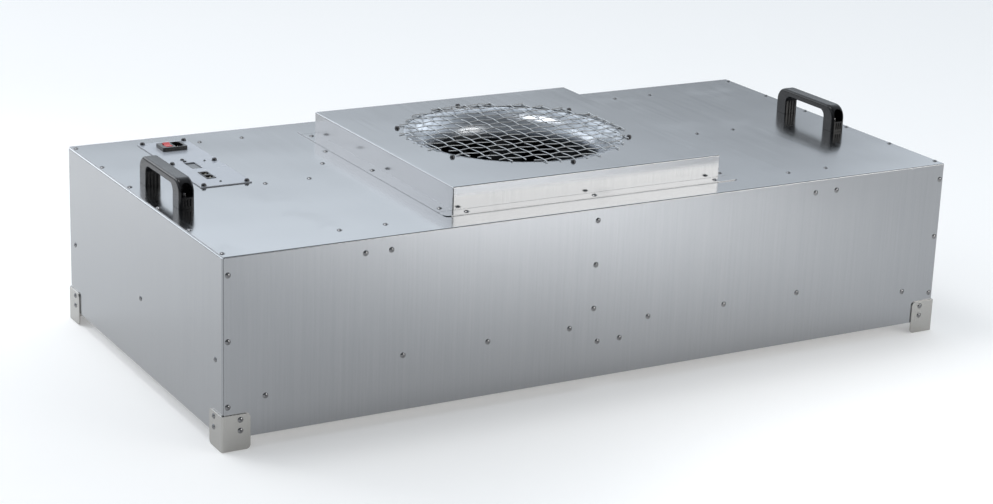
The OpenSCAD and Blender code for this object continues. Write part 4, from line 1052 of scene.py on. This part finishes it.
CAMERA_PLACE = Vector((-1.684, -2.866, 1.177))
CAMERA_AZIMUTH = math.radians(-30.13)
CAMERA_ELEVATION = math.radians(17.74)
CAMERA_ROLL = math.radians(2.17)
FOCAL_IN_WIDTHS = 2315.0 / 993.0
ROOM_STRENGTH = 1.64


def add_camera():
    az, el = CAMERA_AZIMUTH, CAMERA_ELEVATION
    ahead = Vector((-math.sin(az) * math.cos(el), math.cos(az) * math.cos(el), -math.sin(el)))
    right = Vector((math.cos(az), math.sin(az), 0.0))
    up = right.cross(ahead)
    side = right * math.cos(CAMERA_ROLL) + up * math.sin(CAMERA_ROLL)
    top = up * math.cos(CAMERA_ROLL) - right * math.sin(CAMERA_ROLL)
    data = bpy.data.cameras.new("Camera")
    data.sensor_width = 36.0
    data.lens = FOCAL_IN_WIDTHS * data.sensor_width
    data.clip_end = 60.0
    camera = link(bpy.data.objects.new("Camera", data))
    turn = Matrix((side, top, -ahead)).transposed().to_4x4()
    camera.matrix_world = Matrix.Translation(CAMERA_PLACE) @ turn
    bpy.context.scene.camera = camera


def add_floor(colour, glow):
    reach, drop = 12.0, 0.5 * MM
    mesh = bpy.data.meshes.new("Floor")
    mesh.from_pydata(
        [(-reach, -reach, -drop), (reach, -reach, -drop), (reach, reach, -drop), (-reach, reach, -drop)],
        [], [(0, 1, 2, 3)])
    floor = link(bpy.data.objects.new("Floor", mesh))
    material, tree, shader = new_material("Floor paper")
    shader.inputs["Base Color"].default_value = (*colour, 1.0)
    shader.inputs["Roughness"].default_value = 0.9
    shader.inputs["Specular IOR Level"].default_value = 0.1
    shader.inputs["Emission Color"].default_value = (1.0, 1.0, 1.0, 1.0)
    shader.inputs["Emission Strength"].default_value = glow
    # from below it is clear, so that the underside can be looked at
    behind = tree.add("ShaderNodeNewGeometry").outputs["Backfacing"]
    tree.feed(shader.inputs["Alpha"], tree.math("SUBTRACT", 1.0, behind))
    mesh.materials.append(material)


def add_light(name, place, target, size, radiance, colour, grid):
    """A soft box of a given radiance that faces its target; its grid narrows the beam"""
    data = bpy.data.lights.new(name, "AREA")
    data.shape = "RECTANGLE"
    data.size, data.size_y = size
    data.energy = radiance * math.pi * size[0] * size[1]
    data.spread = math.radians(grid)
    data.color = colour
    light = link(bpy.data.objects.new(name, data))
    light.location = place
    light.rotation_euler = (Vector(target) - light.location).to_track_quat("-Z", "Y").to_euler()


# Lights: name, place, target, size, setting that holds the radiance, share of it, colour, grid
MIDDLE = (0.0, 0.0, 0.0)
WHITE = (1.0, 1.0, 1.0)
NO_GRID = 180.0
LIGHTS = (
    ("Back box", (-1.49, 3.05, 1.20), MIDDLE, (1.5, 0.9), "back_light", 1.0, (0.97, 0.98, 1.0), NO_GRID),
    ("Front box", (1.85, -2.85, 1.18), MIDDLE, (2.0, 1.0), "front_light", 1.0, (1.0, 0.97, 0.92), NO_GRID),
    ("Lamp", (-0.77, 0.46, 3.07), MIDDLE, (1.1, 1.1), "top_light", 1.0, WHITE, NO_GRID),
    ("Front floor", (0.40, -2.0, 1.5), (0.36, -1.2, 0.0), (0.4, 0.4), "floor_light", 1.0, WHITE, 42.0),
    ("Back floor", (-1.7, 1.5, 1.5), (-1.15, 0.85, 0.0), (0.5, 0.5), "floor_light", 0.6, WHITE, 70.0),
)


def add_world():
    """A room that is bright and bluish behind on the left and dark in front and on the right"""
    world = bpy.data.worlds.new("Studio")
    bpy.context.scene.world = world
    world.use_nodes = True
    world.node_tree.nodes.clear()
    tree = Tree(world.node_tree)
    coordinate = tree.add("ShaderNodeTexCoord")
    toward = tree.add("ShaderNodeSeparateXYZ", {0: coordinate.outputs["Generated"]})
    from_right = tree.spread(toward.outputs["X"], 0.42, 0.58, 1.0, 0.74)
    far_right = tree.spread(toward.outputs["X"], 0.59, 0.66, 1.0, 2.1)
    from_back = tree.spread(toward.outputs["Y"], -0.5, 0.55, 0.22, 1.0)
    low = tree.spread(toward.outputs["Z"], 0.235, 0.30, 0.32, 1.12)
    overhead = tree.spread(toward.outputs["Z"], 0.45, 0.85, 1.0, 0.45)
    strength = tree.math("MULTIPLY", from_right, far_right)
    for share in (from_back, low, overhead, ROOM_STRENGTH):
        strength = tree.math("MULTIPLY", strength, share)
    background = tree.add("ShaderNodeBackground", {
        "Color": (0.86, 0.93, 1.0, 1.0), "Strength": strength})
    output = tree.add("ShaderNodeOutputWorld")
    tree.feed(output.inputs["Surface"], background.outputs[0])


class FFU_OT_stage(bpy.types.Operator):
    """Add the camera, the floor and the lights"""

    bl_idname = "ffu.stage"
    bl_label = "Stage"

    def execute(self, context):
        stage = context.scene.ffu_stage
        add_camera()
        add_floor(tuple(stage.floor_colour), stage.floor_glow)
        add_world()
        for name, place, target, size, setting, share, colour, grid in LIGHTS:
            add_light(name, place, target, size, share * getattr(stage, setting), colour, grid)
        context.scene.view_settings.view_transform = "Standard"
        return {"FINISHED"}


class FFU_PT_sidebar(bpy.types.Panel):
    """Lists the steps that dress the unit"""

    bl_idname = "FFU_PT_sidebar"
    bl_label = "Fan filter unit"
    bl_space_type = "VIEW_3D"
    bl_region_type = "UI"
    bl_category = TAB

    def draw(self, context):
        for operator in OPERATORS:
            self.layout.operator(operator.bl_idname)


GROUPS = {
    "ffu_sheet": FFU_sheet,
    "ffu_wires": FFU_wires,
    "ffu_fasteners": FFU_fasteners,
    "ffu_handle": FFU_handle,
    "ffu_filter": FFU_filter,
    "ffu_stage": FFU_stage,
}
OPERATORS = (
    FFU_OT_stage, FFU_OT_finishes, FFU_OT_bell_mouth, FFU_OT_guard, FFU_OT_eased,
    FFU_OT_filter_guard, FFU_OT_handles, FFU_OT_contacts, FFU_OT_rivets, FFU_OT_screws,
)
CLASSES = (*GROUPS.values(), *OPERATORS, FFU_PT_sidebar)


def register():
    for cls in CLASSES:
        bpy.utils.register_class(cls)
    for name, group in GROUPS.items():
        setattr(bpy.types.Scene, name, PointerProperty(type=group))


def unregister():
    for name in GROUPS:
        delattr(bpy.types.Scene, name)
    for cls in reversed(CLASSES):
        bpy.utils.unregister_class(cls)


def main():
    register()
    for operator in OPERATORS:
        group, name = operator.bl_idname.split(".")
        getattr(getattr(bpy.ops, group), name)()


if __name__ == "__main__":
    main()
